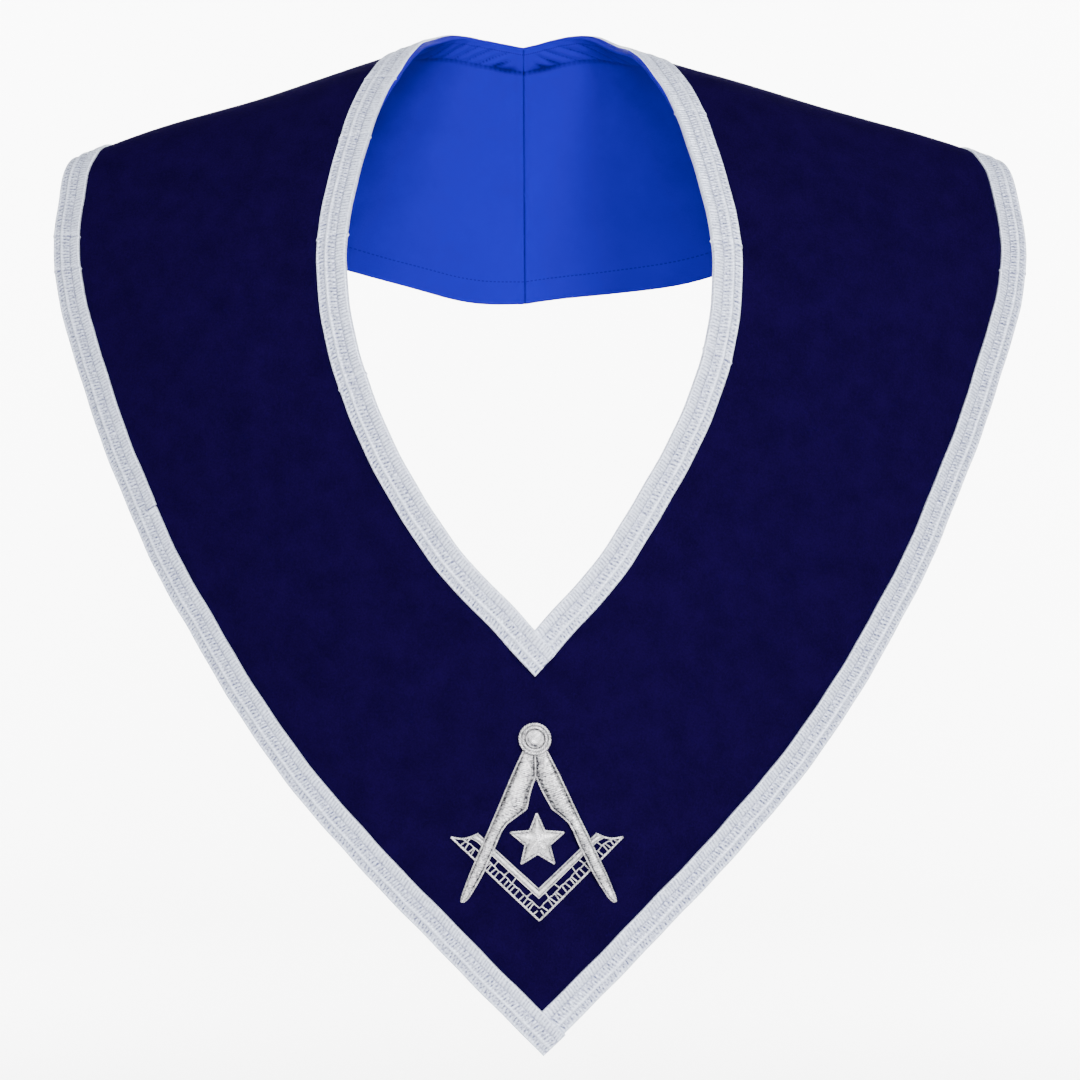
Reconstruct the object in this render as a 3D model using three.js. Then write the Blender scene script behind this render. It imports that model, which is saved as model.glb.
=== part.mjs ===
// A V-fronted lodge collar as it hangs on the shoulders: velvet face, blue lining, silver braid along both
// edges and a padded silver square and compasses at the front. Sizes are in millimetres. Z is up and the
// wearer faces -Y. The origin lies on the plane of symmetry, level with the neck edge beside the neck.
import * as THREE from "three";

// The neck edge
const neckHalfWidth = 77;
const neckDrop = 252;
const neckDepth = 158;

// The hem, which is the outer edge
const hemHalfWidth = 210.5;
const hemDrop = 426;
const hemDepth = 201;

// The chest under the front: how far forward it is at the origin's height, and how much more at the hem
const chestReach = 96.7;
const chestSwell = 24.3;

// The cloth layers, from the inside out
const liningThickness = 1;
const velvetThickness = 1.2;
const braidThickness = 1.2;
const layerGap = 0.3;
const seamGap = 0.3;
const braidWidth = 13;
const bowHeight = 6;

// The padded embroidery
const squareHeight = 1.5;
const legHeight = 2.2;
const bossHeight = 3;
const starHeight = 2.2;

// Half the collar, a row for each section from the centre back to the centre front. Along is the share of
// the way round. Out, down and back are shares of the edge's half width, drop and depth behind the chest,
// and bow is the share of bowHeight by which the middle of the section stands proud.
const drape = namedRows(
  ["along", "neckOut", "neckDown", "neckBack", "hemOut", "hemDown", "hemBack", "bow"],
  [
    [0.0, 0.0, -0.02, 1.0, 0.0, 0.251, 1.0, 0.5],
    [0.07, 0.208, -0.032, 0.98, 0.19, 0.244, 0.983, 0.6],
    [0.14, 0.39, -0.04, 0.922, 0.39, 0.221, 0.93, 0.8],
    [0.21, 0.519, -0.024, 0.816, 0.618, 0.178, 0.841, 1.0],
    [0.28, 0.597, 0.0, 0.673, 0.831, 0.134, 0.706, 1.2],
    [0.35, 0.696, 0.048, 0.551, 0.964, 0.117, 0.57, 1.2],
    [0.43, 0.831, 0.135, 0.42, 1.0, 0.174, 0.482, 1.1],
    [0.52, 0.948, 0.27, 0.287, 0.993, 0.242, 0.43, 1.0],
    [0.61, 0.998, 0.393, 0.204, 0.95, 0.317, 0.37, 0.8],
    [0.7, 0.922, 0.548, 0.136, 0.86, 0.437, 0.295, 0.6],
    [0.79, 0.727, 0.694, 0.08, 0.722, 0.58, 0.198, 0.4],
    [0.9, 0.377, 0.869, 0.019, 0.475, 0.758, 0.09, 0.15],
    [1.0, 0.0, 1.0, 0.0, 0.0, 1.0, 0.0, 0.0],
  ],
);

// The emblem fills this share of the clear velvet at the centre front, and starts this share below its top
const emblemShare = 0.594;
const emblemInset = 0.134;

// One compass leg from the boss to the tip, as shares of the emblem's height. Rise is the share of the
// square's height that the leg climbs to pass over the square.
const legRows = namedRows(
  ["innerOut", "innerDown", "outerOut", "outerDown", "rise"],
  [
    [0.0, 0.172, 0.064, 0.158, 0],
    [0.0, 0.272, 0.112, 0.262, 0],
    [0.033, 0.356, 0.149, 0.345, 0],
    [0.065, 0.44, 0.184, 0.425, 0],
    [0.111, 0.475, 0.208, 0.48, 0],
    [0.154, 0.51, 0.226, 0.52, 0.3],
    [0.18, 0.553, 0.245, 0.565, 1],
    [0.212, 0.63, 0.274, 0.63, 1],
    [0.275, 0.764, 0.334, 0.764, 1],
    [0.306, 0.82, 0.359, 0.82, 0.3],
    [0.347, 0.88, 0.386, 0.88, 0],
    [0.372, 0.91, 0.389, 0.905, 0],
  ],
);

// Across a leg from its inner edge to its outer edge: the padding's height as a share of legHeight
const legPadding = namedRows(
  ["across", "height"],
  [
    [0, 0.45],
    [0.15, 0.8],
    [0.5, 1],
    [0.85, 0.8],
    [1, 0.45],
  ],
);

// The corners of one arm of the square, as shares of the emblem's height
const squareArm = {
  innerFoot: { out: 0, down: 0.837 },
  outerFoot: { out: 0, down: 1 },
  innerEnd: { out: 0.292, down: 0.565 },
  outerEnd: { out: 0.43, down: 0.584 },
};

// Across an arm of the square: a solid inner bar, a low graduated strip and the cord round its outer edge
const squareProfile = namedRows(
  ["across", "height"],
  [
    [0, 0.6],
    [0.05, 1],
    [0.29, 1],
    [0.34, 0.35],
    [0.9, 0.35],
    [0.94, 0.8],
    [1, 0.6],
  ],
);

// The boss from its rim to its crown, as shares of its radius and height
const bossRadius = 0.0813;
const bossDown = 0.0835;
const bossProfile = namedRows(
  ["radius", "height"],
  [
    [0, 0],
    [1, 0],
    [1, 0.4],
    [0.92, 0.6],
    [0.8, 0.6],
    [0.7, 0.45],
    [0.6, 0.6],
    [0.35, 0.9],
    [0, 1],
  ],
);

// The star, as shares of the emblem's height and, for its hollow corners, of its radius
const starDown = 0.602;
const starRadius = 0.137;
const starWaist = 0.45;
const starPoints = 5;
const starRim = 0.4;

// Facets
const sectionsPerHalf = 36;
const frontCrowding = 1.4;
const stripsAcross = 5;
const stepsPerArm = 6;
const bossSides = 24;

// Solving and measuring on the drape. The solver starts near the middle of the emblem.
const tinyStep = 1e-4;
const newtonRounds = 12;
const solverStart = { along: 0.95, across: 0.5 };

function namedRows(columns, rows) {
  return rows.map((row) => Object.fromEntries(columns.map((name, i) => [name, row[i]])));
}

function mix(from, to, share) {
  return from + (to - from) * share;
}

function mixPoints(from, to, share) {
  return { out: mix(from.out, to.out, share), down: mix(from.down, to.down, share) };
}

// A smooth curve through a column of the drape. A column that mirrors evenly is level at both ends.
function drapeValue(column, along, isEven = false) {
  const last = drape.length - 2;
  const found = drape.findIndex((row) => row.along > along) - 1;
  const i = found < 0 ? last : found;
  const slopeAt = (k) => {
    const isEnd = k === 0 || k === drape.length - 1;
    if (isEnd && isEven) return 0;
    const before = drape[Math.max(k - 1, 0)];
    const after = drape[Math.min(k + 1, drape.length - 1)];
    return (after[column] - before[column]) / (after.along - before.along);
  };
  const span = drape[i + 1].along - drape[i].along;
  const u = (along - drape[i].along) / span;
  return (
    drape[i][column] * (2 * u ** 3 - 3 * u ** 2 + 1) +
    drape[i + 1][column] * (3 * u ** 2 - 2 * u ** 3) +
    span * slopeAt(i) * (u ** 3 - 2 * u ** 2 + u) +
    span * slopeAt(i + 1) * (u ** 3 - u ** 2)
  );
}

// A point of the right half with straight sections, across from 0 at the neck edge to 1 at the hem
function ruledPoint(along, across) {
  const out = mix(
    neckHalfWidth * drapeValue("neckOut", along),
    hemHalfWidth * drapeValue("hemOut", along),
    across,
  );
  const down = mix(
    neckDrop * drapeValue("neckDown", along),
    hemDrop * drapeValue("hemDown", along),
    across,
  );
  const back = mix(
    neckDepth * drapeValue("neckBack", along, true),
    hemDepth * drapeValue("hemBack", along, true),
    across,
  );
  const chest = chestReach + (chestSwell * down) / hemDrop;
  return new THREE.Vector3(out, back - chest, -down);
}

// The outward normal of a surface of the half, level across the plane of symmetry at both ends
function normalOf(surface, along, across) {
  const isBackEnd = along === 0;
  const isFrontEnd = along === 1;
  const round =
    isBackEnd || isFrontEnd
      ? new THREE.Vector3(isBackEnd ? 1 : -1, 0, 0)
      : surface(along + tinyStep, across).sub(surface(along - tinyStep, across));
  const downwards = surface(along, across + tinyStep).sub(surface(along, across - tinyStep));
  return round.cross(downwards).normalize();
}

// A point of the right half of the velvet's inner face, with its sections bowed outwards
function bowedPoint(along, across) {
  const bow = bowHeight * drapeValue("bow", along, true) * Math.sin(Math.PI * across);
  return ruledPoint(along, across).addScaledVector(normalOf(ruledPoint, along, across), bow);
}

// A point at a lift above the velvet's inner face, on the side that side says: -1 or 1
function clothPoint(side, along, across, lift, sideways = 0) {
  const p = bowedPoint(along, across).addScaledVector(normalOf(bowedPoint, along, across), lift);
  return new THREE.Vector3(side * (p.x + sideways), p.y, p.z);
}

// The share of a section that the braid covers, measured square to the edge that it follows
function braidShare(along, edge) {
  const stepAlong = Math.min(along, 1 - tinyStep);
  const edgeRun = ruledPoint(stepAlong + tinyStep, edge).sub(ruledPoint(stepAlong, edge)).normalize();
  const section = ruledPoint(along, 1).sub(ruledPoint(along, 0));
  return braidWidth / section.cross(edgeRun).length();
}

// The rows of the cloth's lattice at one section: both braids' edges, and even strips between them
function rowsAcross(along) {
  const neckBraid = braidShare(along, 0);
  const hemBraid = 1 - braidShare(along, 1);
  const strips = Array.from({ length: stripsAcross + 1 }, (_, i) => mix(neckBraid, hemBraid, i / stripsAcross));
  return [0, ...strips, 1];
}

// The sections from the centre back to the centre front, closer together at the front
function sectionsOfHalf() {
  return Array.from({ length: sectionsPerHalf + 1 }, (_, i) => 1 - (1 - i / sectionsPerHalf) ** frontCrowding);
}

// The signed volume of a closed mesh, negative where its faces point inwards
function signedVolume(positions, index) {
  const corner = (i) => new THREE.Vector3().fromArray(positions, 3 * index[i]);
  let volume = 0;
  for (let i = 0; i < index.length; i += 3) {
    volume += corner(i).dot(corner(i + 1).cross(corner(i + 2))) / 6;
  }
  return volume;
}

function closedGeometry(points, index) {
  const positions = points.flatMap((p) => [p.x, p.y, p.z]);
  if (signedVolume(positions, index) < 0) index.reverse();
  const geometry = new THREE.BufferGeometry();
  geometry.setAttribute("position", new THREE.Float32BufferAttribute(positions, 3));
  geometry.setIndex(index);
  geometry.computeVertexNormals();
  return geometry;
}

// A closed solid between two lattices of points, top[i][j] over bottom[i][j]
function latticeSolid(top, bottom) {
  const columns = top.length;
  const rows = top[0].length;
  const points = [...top.flat(), ...bottom.flat()];
  const at = (layer, i, j) => layer * columns * rows + i * rows + j;
  const index = [];
  const quad = (a, b, c, d) => index.push(a, b, c, a, c, d);
  for (let i = 0; i + 1 < columns; i += 1) {
    for (let j = 0; j + 1 < rows; j += 1) {
      quad(at(0, i, j), at(0, i + 1, j), at(0, i + 1, j + 1), at(0, i, j + 1));
      quad(at(1, i, j), at(1, i, j + 1), at(1, i + 1, j + 1), at(1, i + 1, j));
    }
    quad(at(1, i, 0), at(1, i + 1, 0), at(0, i + 1, 0), at(0, i, 0));
    quad(at(0, i, rows - 1), at(0, i + 1, rows - 1), at(1, i + 1, rows - 1), at(1, i, rows - 1));
  }
  for (let j = 0; j + 1 < rows; j += 1) {
    quad(at(0, 0, j), at(0, 0, j + 1), at(1, 0, j + 1), at(1, 0, j));
    quad(at(1, columns - 1, j), at(1, columns - 1, j + 1), at(0, columns - 1, j + 1), at(0, columns - 1, j));
  }
  return closedGeometry(points, index);
}

// A closed solid over an outline, with a raised rim and a crown at its centre
function crownedSolid(bottomRim, topRim, bottomCentre, crown) {
  const count = bottomRim.length;
  const points = [...bottomRim, ...topRim, bottomCentre, crown];
  const index = [];
  for (let i = 0; i < count; i += 1) {
    const next = (i + 1) % count;
    index.push(count + i, count + next, 2 * count + 1);
    index.push(next, i, 2 * count);
    index.push(i, next, count + next, i, count + next, count + i);
  }
  return closedGeometry(points, index);
}

// One layer of cloth round the whole collar, parted by the seam gap at the centre back
function clothLayer(innerLift, outerLift) {
  const half = sectionsOfHalf();
  const stations = [
    ...half.map((along) => ({ side: -1, along })),
    ...half.slice(0, -1).reverse().map((along) => ({ side: 1, along })),
  ];
  const lattice = (lift) =>
    stations.map(({ side, along }) => {
      const sideways = (seamGap / 2) * (1 - along);
      return rowsAcross(along).map((across) => clothPoint(side, along, across, lift, sideways));
    });
  return latticeSolid(lattice(outerLift), lattice(innerLift));
}

// One length of braid on the velvet, from the centre back to the centre front on one side
function braidStrip(side, edge) {
  const lattice = (lift) =>
    sectionsOfHalf().map((along) => {
      const rows = rowsAcross(along);
      const pair = edge === 0 ? rows.slice(0, 2) : rows.slice(-2);
      return pair.map((across) => clothPoint(side, along, across, lift, seamGap / 2));
    });
  const seat = velvetThickness + layerGap;
  return latticeSolid(lattice(seat + braidThickness), lattice(seat));
}

// The emblem's own height and its top, from the clear velvet between the braids at the centre front
function emblemPlace() {
  const top = bowedPoint(1, braidShare(1, 0)).z;
  const bottom = bowedPoint(1, 1 - braidShare(1, 1)).z;
  const clear = top - bottom;
  return { height: clear * emblemShare, top: top - clear * emblemInset };
}

const emblem = emblemPlace();

// The point of the velvet's inner face at a place seen from the front, found by Newton's method
function facePlace(out, height) {
  let { along, across } = solverStart;
  for (let round = 0; round < newtonRounds; round += 1) {
    const here = bowedPoint(along, across);
    const byAlong = bowedPoint(along - tinyStep, across).sub(here).divideScalar(-tinyStep);
    const byAcross = bowedPoint(along, across + tinyStep).sub(here).divideScalar(tinyStep);
    const determinant = byAlong.x * byAcross.z - byAcross.x * byAlong.z;
    const missX = out - here.x;
    const missZ = height - here.z;
    along += (missX * byAcross.z - missZ * byAcross.x) / determinant;
    across += (missZ * byAlong.x - missX * byAlong.z) / determinant;
  }
  return { along, across };
}

// A point of the embroidery at shares of the emblem's height, at a lift above the velvet's outer face
function emblemPoint(side, out, down, lift, sideways = 0) {
  const place = facePlace(out * emblem.height + sideways, emblem.top - down * emblem.height);
  const along = Math.abs(1 - place.along) < tinyStep ? 1 : place.along;
  return clothPoint(side, along, place.across, velvetThickness + layerGap + lift);
}

function compassLeg(side) {
  const lattice = (heightOf) =>
    legRows.map((row) =>
      legPadding.map(({ across, height }) => {
        const out = mix(row.innerOut, row.outerOut, across);
        const down = mix(row.innerDown, row.outerDown, across);
        const lift = row.rise * (squareHeight + layerGap) + heightOf(height);
        return emblemPoint(side, out, down, lift, seamGap / 2);
      }),
    );
  return latticeSolid(
    lattice((height) => height * legHeight),
    lattice(() => 0),
  );
}

function square() {
  const steps = Array.from({ length: 2 * stepsPerArm + 1 }, (_, i) => i / stepsPerArm - 1);
  const lattice = (heightOf) =>
    steps.map((step) => {
      const inner = mixPoints(squareArm.innerFoot, squareArm.innerEnd, Math.abs(step));
      const outer = mixPoints(squareArm.outerFoot, squareArm.outerEnd, Math.abs(step));
      return squareProfile.map(({ across, height }) => {
        const place = mixPoints(inner, outer, across);
        return emblemPoint(Math.sign(step) || 1, place.out, place.down, heightOf(height));
      });
    });
  return latticeSolid(
    lattice((height) => height * squareHeight),
    lattice(() => 0),
  );
}

function star() {
  const radius = (i) => starRadius * (i % 2 === 0 ? 1 : starWaist);
  const rim = (lift) =>
    Array.from({ length: 2 * starPoints }, (_, i) => {
      const turn = (Math.PI * i) / starPoints;
      const out = radius(i) * Math.sin(turn);
      const down = starDown - radius(i) * Math.cos(turn);
      return emblemPoint(out < 0 ? -1 : 1, Math.abs(out), down, lift);
    });
  return crownedSolid(
    rim(0),
    rim(starRim * starHeight),
    emblemPoint(1, 0, starDown, 0),
    emblemPoint(1, 0, starDown, starHeight),
  );
}

// The boss is turned on its own axis, which stands square to the velvet
function boss(material) {
  const radius = bossRadius * emblem.height;
  const profile = bossProfile.map((row) => new THREE.Vector2(row.radius * radius, row.height * bossHeight));
  const mesh = new THREE.Mesh(new THREE.LatheGeometry(profile, bossSides), material);
  const seat = emblemPoint(1, 0, bossDown, 0);
  const outwards = emblemPoint(1, 0, bossDown, 1).sub(seat);
  mesh.position.copy(seat);
  mesh.quaternion.setFromUnitVectors(new THREE.Vector3(0, 1, 0), outwards.normalize());
  return mesh;
}

function fabric(color, roughness, metalness = 0) {
  return new THREE.MeshStandardMaterial({ color, roughness, metalness, flatShading: true });
}

function named(name, mesh) {
  mesh.name = name;
  return mesh;
}

const velvet = fabric(0x0c0840, 0.95);
const liningCloth = fabric(0x1438d0, 0.7);
const silverBraid = fabric(0xcdd2e4, 0.5, 0.3);
const bullion = fabric(0xd8dae2, 0.45, 0.3);

const sides = [
  { word: "left", side: 1 },
  { word: "right", side: -1 },
];

const cloth = new THREE.Group();
cloth.add(named("velvet_face", new THREE.Mesh(clothLayer(0, velvetThickness), velvet)));
cloth.add(named("lining", new THREE.Mesh(clothLayer(-layerGap - liningThickness, -layerGap), liningCloth)));

const braids = new THREE.Group();
for (const { word, side } of sides) {
  braids.add(named(`neck_braid_${word}`, new THREE.Mesh(braidStrip(side, 0), silverBraid)));
  braids.add(named(`hem_braid_${word}`, new THREE.Mesh(braidStrip(side, 1), silverBraid)));
}

const embroidery = new THREE.Group();
for (const { word, side } of sides) {
  embroidery.add(named(`compass_leg_${word}`, new THREE.Mesh(compassLeg(side), bullion)));
}
embroidery.add(named("compass_boss", boss(bullion)));
embroidery.add(named("square", new THREE.Mesh(square(), bullion)));
embroidery.add(named("centre_star", new THREE.Mesh(star(), bullion)));

const group = new THREE.Group();
group.add(cloth, braids, embroidery);

export default group;
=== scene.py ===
"""The looks of a V-fronted lodge collar: velvet, lining, woven braid and padded silver embroidery.

The collar's drape repeats the sizes and sections of its source, in metres, so that every piece lies where
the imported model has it. Each piece is laid on that drape by its place round the collar and across the band.
"""

import logging
import math
from dataclasses import astuple, dataclass, field
from enum import Enum
from typing import Callable, Sequence

import bpy
import numpy as np
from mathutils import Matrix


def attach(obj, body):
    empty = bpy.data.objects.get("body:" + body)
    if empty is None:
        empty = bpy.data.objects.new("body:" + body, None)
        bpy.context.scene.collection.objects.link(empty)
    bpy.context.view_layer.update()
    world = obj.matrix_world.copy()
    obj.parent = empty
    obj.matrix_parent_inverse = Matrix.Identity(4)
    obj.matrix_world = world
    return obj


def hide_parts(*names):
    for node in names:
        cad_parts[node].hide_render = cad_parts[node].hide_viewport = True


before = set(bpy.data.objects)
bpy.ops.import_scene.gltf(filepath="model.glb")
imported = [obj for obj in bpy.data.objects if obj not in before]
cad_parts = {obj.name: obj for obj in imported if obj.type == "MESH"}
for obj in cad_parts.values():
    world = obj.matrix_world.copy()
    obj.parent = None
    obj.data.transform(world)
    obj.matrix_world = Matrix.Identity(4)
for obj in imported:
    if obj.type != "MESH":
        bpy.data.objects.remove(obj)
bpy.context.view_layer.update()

log = logging.getLogger("collar")

Array = np.ndarray
Place = tuple[float, float, float]
Colour = tuple[float, float, float, float]
Span = tuple[float, float]
Waves = tuple[tuple[float, float, float], ...]
Socket = bpy.types.NodeSocket
Tree = bpy.types.NodeTree

MM = 0.001
FULL_TURN = 2.0 * math.pi
UV_A_TURN = 0.5
ROOT = "root"
PHOTO_PIXELS = 1080


# Small helpers


def clamp(value: Array) -> Array:
    """Return the value held between 0 and 1."""
    return np.clip(value, 0.0, 1.0)


def smooth_step(low: float, high: float, value: Array) -> Array:
    """Return 0 below low, 1 above high and a smooth curve between them."""
    share = clamp((value - low) / (high - low))
    return share * share * (3.0 - 2.0 * share)


def bump_at(value: Array, centre: float, width: float) -> Array:
    """Return a bell of height 1 round centre."""
    return np.exp(-(((value - centre) / width) ** 2))


def wave(distance: Array, pitch: float, phase: Array | float = 0.0) -> Array:
    """Return a sine wave of height 1, with its phase in radians."""
    return np.sin(FULL_TURN * distance / pitch + phase)


def ripples(distance: Array, waves: Waves) -> Array:
    """Return a sum of sine waves, each given by its height, its length for a radian and its phase."""
    return sum(height * np.sin(distance / length + phase) for height, length, phase in waves)


def unit(vectors: Array) -> Array:
    """Return the vectors at length 1."""
    return vectors / np.linalg.norm(vectors, axis=1)[:, None]


def rounded(share: Array, reach: float) -> Array:
    """Return a section's rounded sides: 0 at both sides and 1 further than reach from them."""
    return np.sqrt(clamp(np.minimum(share, 1.0 - share) / reach))


def round_tube(v: Array, upper_share: float) -> tuple[Array, Array]:
    """Split the way round a flat tube into its upper face and its underside.

    Args:
        v: Shares of the way round the tube.
        upper_share: The share of the way that the upper face takes.

    Returns:
        Whether each place is on the upper face, and its share across the tube.
    """
    upper = v <= upper_share
    return upper, clamp(np.where(upper, v / upper_share, (1.0 - v) / (1.0 - upper_share)))


# The drape of the collar


@dataclass(frozen=True)
class Section:
    """One section of half the collar, from the centre back at along 0 to the centre front at along 1.

    Out, down and back are shares of the edge's half width, drop and depth behind the chest.
    """

    along: float
    neck_out: float
    neck_down: float
    neck_back: float
    hem_out: float
    hem_down: float
    hem_back: float
    bow: float


SECTIONS: tuple[Section, ...] = (
    Section(0.00, 0.000, -0.020, 1.000, 0.000, 0.251, 1.000, 0.50),
    Section(0.07, 0.208, -0.032, 0.980, 0.190, 0.244, 0.983, 0.60),
    Section(0.14, 0.390, -0.040, 0.922, 0.390, 0.221, 0.930, 0.80),
    Section(0.21, 0.519, -0.024, 0.816, 0.618, 0.178, 0.841, 1.00),
    Section(0.28, 0.597, 0.000, 0.673, 0.831, 0.134, 0.706, 1.20),
    Section(0.35, 0.696, 0.048, 0.551, 0.964, 0.117, 0.570, 1.20),
    Section(0.43, 0.831, 0.135, 0.420, 1.000, 0.174, 0.482, 1.10),
    Section(0.52, 0.948, 0.270, 0.287, 0.993, 0.242, 0.430, 1.00),
    Section(0.61, 0.998, 0.393, 0.204, 0.950, 0.317, 0.370, 0.80),
    Section(0.70, 0.922, 0.548, 0.136, 0.860, 0.437, 0.295, 0.60),
    Section(0.79, 0.727, 0.694, 0.080, 0.722, 0.580, 0.198, 0.40),
    Section(0.90, 0.377, 0.869, 0.019, 0.475, 0.758, 0.090, 0.15),
    Section(1.00, 0.000, 1.000, 0.000, 0.000, 1.000, 0.000, 0.00),
)

# The columns after along that run level into both seams: the neck's and the hem's back, and the bow
LEVEL_COLUMNS = [2, 5, 6]
BOW_COLUMN = 6


@dataclass(frozen=True)
class Nudge:
    """A place where the worn cloth lies a little off its symmetrical form.

    Turn and spread say where it is round the collar and how wide, and level says where across the band: 0 at
    the neck edge, 0.5 in the middle and 1 at the hem.
    """

    turn: float
    spread: float
    level: float
    aside: float
    up: float


NUDGES: tuple[Nudge, ...] = (
    Nudge(0.85, 0.09, 0.0, -0.9 * MM, 0.0),
    Nudge(1.15, 0.09, 0.0, -1.9 * MM, 0.0),
    Nudge(1.17, 0.08, 1.0, 1.8 * MM, 0.0),
    Nudge(1.55, 0.16, 1.0, 0.9 * MM, 0.0),
    Nudge(0.08, 0.05, 0.0, 0.0, 1.1 * MM),
    Nudge(0.22, 0.09, 0.0, 0.0, -3.8 * MM),
    Nudge(1.82, 0.09, 0.0, 0.0, -1.3 * MM),
    Nudge(1.92, 0.04, 1.0, 0.0, 1.9 * MM),
    Nudge(0.10, 0.05, 1.0, 0.0, 1.0 * MM),
    Nudge(0.35, 0.14, 0.5, 0.0, -4.2 * MM),
    Nudge(1.65, 0.14, 0.5, 0.0, -4.7 * MM),
    Nudge(0.42, 0.06, 1.0, -1.2 * MM, -1.5 * MM),
    Nudge(1.58, 0.06, 1.0, 1.2 * MM, -1.5 * MM),
)


def section_slopes(knots: Array, shares: Array) -> Array:
    """Return the slope of every column at every section."""
    slopes = np.empty_like(shares)
    slopes[1:-1] = (shares[2:] - shares[:-2]) / (knots[2:] - knots[:-2])[:, None]
    slopes[0] = (shares[1] - shares[0]) / (knots[1] - knots[0])
    slopes[-1] = (shares[-1] - shares[-2]) / (knots[-1] - knots[-2])
    for end in (0, -1):
        slopes[end, LEVEL_COLUMNS] = 0.0
    return slopes


SECTION_TABLE = np.array([astuple(section) for section in SECTIONS])
KNOTS, SHARES = SECTION_TABLE[:, 0], SECTION_TABLE[:, 1:]
SLOPES = section_slopes(KNOTS, SHARES)


@dataclass(frozen=True)
class Drape:
    """The surface that every layer of the collar follows, which is the velvet's inner face.

    Turn runs once round the collar: 0 at the centre back, 1 at the centre front, 2 at the centre back again,
    with the wearer's left half between 0 and 1. Across runs from 0 at the neck edge to 1 at the hem.
    """

    neck_half_width: float = 77 * MM
    neck_drop: float = 252 * MM
    neck_depth: float = 158 * MM
    hem_half_width: float = 210.5 * MM
    hem_drop: float = 426 * MM
    hem_depth: float = 201 * MM
    chest_reach: float = 96.7 * MM
    chest_swell: float = 24.3 * MM
    bow_height: float = 6 * MM
    billow: float = 0.6 * MM
    neck_lean: float = -1.7 * MM
    neck_sway: float = -1.1 * MM
    hem_sway: float = 2.5 * MM
    hem_wave: float = 1.6 * MM
    hem_wave_length: float = 102 * MM
    hem_lean: float = 1.2 * MM
    hem_lean_reach: Span = (1.0, 0.8)
    back_reach: Span = (0.70, 0.86)
    calm_front: Span = (0.12, 0.3)
    step: float = 1e-4
    normal_step: float = 2e-3
    rounds: int = 8

    @staticmethod
    def columns(turn: Array) -> Array:
        """Interpolate the sections.

        Args:
            turn: Places round the collar.

        Returns:
            A row for each place: out, down and back of the neck and of the hem, and the bow.
        """
        along = 1.0 - np.abs(1.0 - np.mod(turn, 2.0))
        i = np.clip(np.searchsorted(KNOTS, along, side="right") - 1, 0, len(KNOTS) - 2)
        span = (KNOTS[i + 1] - KNOTS[i])[:, None]
        u = (along - KNOTS[i])[:, None] / span
        return (
            SHARES[i] * (2 * u**3 - 3 * u**2 + 1)
            + SHARES[i + 1] * (3 * u**2 - 2 * u**3)
            + span * SLOPES[i] * (u**3 - 2 * u**2 + u)
            + span * SLOPES[i + 1] * (u**3 - u**2)
        )

    def ruled(self, turn: Array, across: Array) -> Array:
        """Return points of the drape with straight sections."""
        turn = np.mod(turn, 2.0)
        c = self.columns(turn)
        out = self.neck_half_width * c[:, 0] * (1 - across) + self.hem_half_width * c[:, 3] * across
        down = self.neck_drop * c[:, 1] * (1 - across) + self.hem_drop * c[:, 4] * across
        back = self.neck_depth * c[:, 2] * (1 - across) + self.hem_depth * c[:, 5] * across
        chest = self.chest_reach + self.chest_swell * down / self.hem_drop
        x = np.where(turn > 1.0, -out, out)
        z = self.settle(turn, across, x) - down
        return np.column_stack((x + self.shift(turn, across), back - chest, z))

    def shift(self, turn: Array, across: Array) -> Array:
        """Return how far the worn collar has slipped sideways from its symmetrical form."""
        off_front = np.abs(turn - 1.0)
        at_side = np.sin(np.pi * off_front) ** 2
        neck = self.neck_lean + self.neck_sway * at_side
        hem = self.hem_lean * smooth_step(*self.hem_lean_reach, off_front) + self.hem_sway * at_side
        nudged = sum(nudge.aside * self.nudge_share(nudge, turn, across) for nudge in NUDGES if nudge.aside)
        return neck * (1 - across) + hem * across + nudged

    def settle(self, turn: Array, across: Array, x: Array) -> Array:
        """Return how far the cloth rises or sinks from its symmetrical form."""
        at_back = smooth_step(*self.back_reach, np.abs(turn - 1.0))
        waved = self.hem_wave * wave(x, self.hem_wave_length) * clamp(across) ** 2
        nudged = sum(nudge.up * self.nudge_share(nudge, turn, across) for nudge in NUDGES if nudge.up)
        return at_back * waved + nudged

    @staticmethod
    def nudge_share(nudge: Nudge, turn: Array, across: Array) -> Array:
        """Return the share of a nudge that each place takes."""
        reach = max(nudge.level, 1.0 - nudge.level)
        off_level = np.clip((across - nudge.level) / reach, -1.0, 1.0)
        away = np.abs(np.mod(turn - nudge.turn + 1.0, 2.0) - 1.0)
        return bump_at(away, 0.0, nudge.spread) * np.cos(0.5 * np.pi * off_level) ** 2

    def normals(self, surface: Callable[[Array, Array], Array], turn: Array, across: Array) -> Array:
        """Return the outward normals of a surface by differences wide enough to smooth its two seams."""
        round_ = surface(turn + self.normal_step, across) - surface(turn - self.normal_step, across)
        down = surface(turn, across + self.step) - surface(turn, across - self.step)
        return unit(np.cross(round_, down))

    def bowed(self, turn: Array, across: Array) -> Array:
        """Return points of the drape with bowed sections and the soft billows of the real cloth."""
        bow = self.bow_height * self.columns(turn)[:, BOW_COLUMN]
        belly = np.sin(np.pi * clamp(across)) ** 2
        waves = np.sin(7 * np.pi * turn + 4.0 * across) + 0.7 * np.sin(12 * np.pi * turn - 7.0 * across + 1.3)
        off_front = smooth_step(*self.calm_front, np.abs(turn - 1.0))
        lift = bow * np.sin(np.pi * across) + self.billow * belly * waves * off_front
        return self.ruled(turn, across) + lift[:, None] * self.normals(self.ruled, turn, across)

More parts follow.
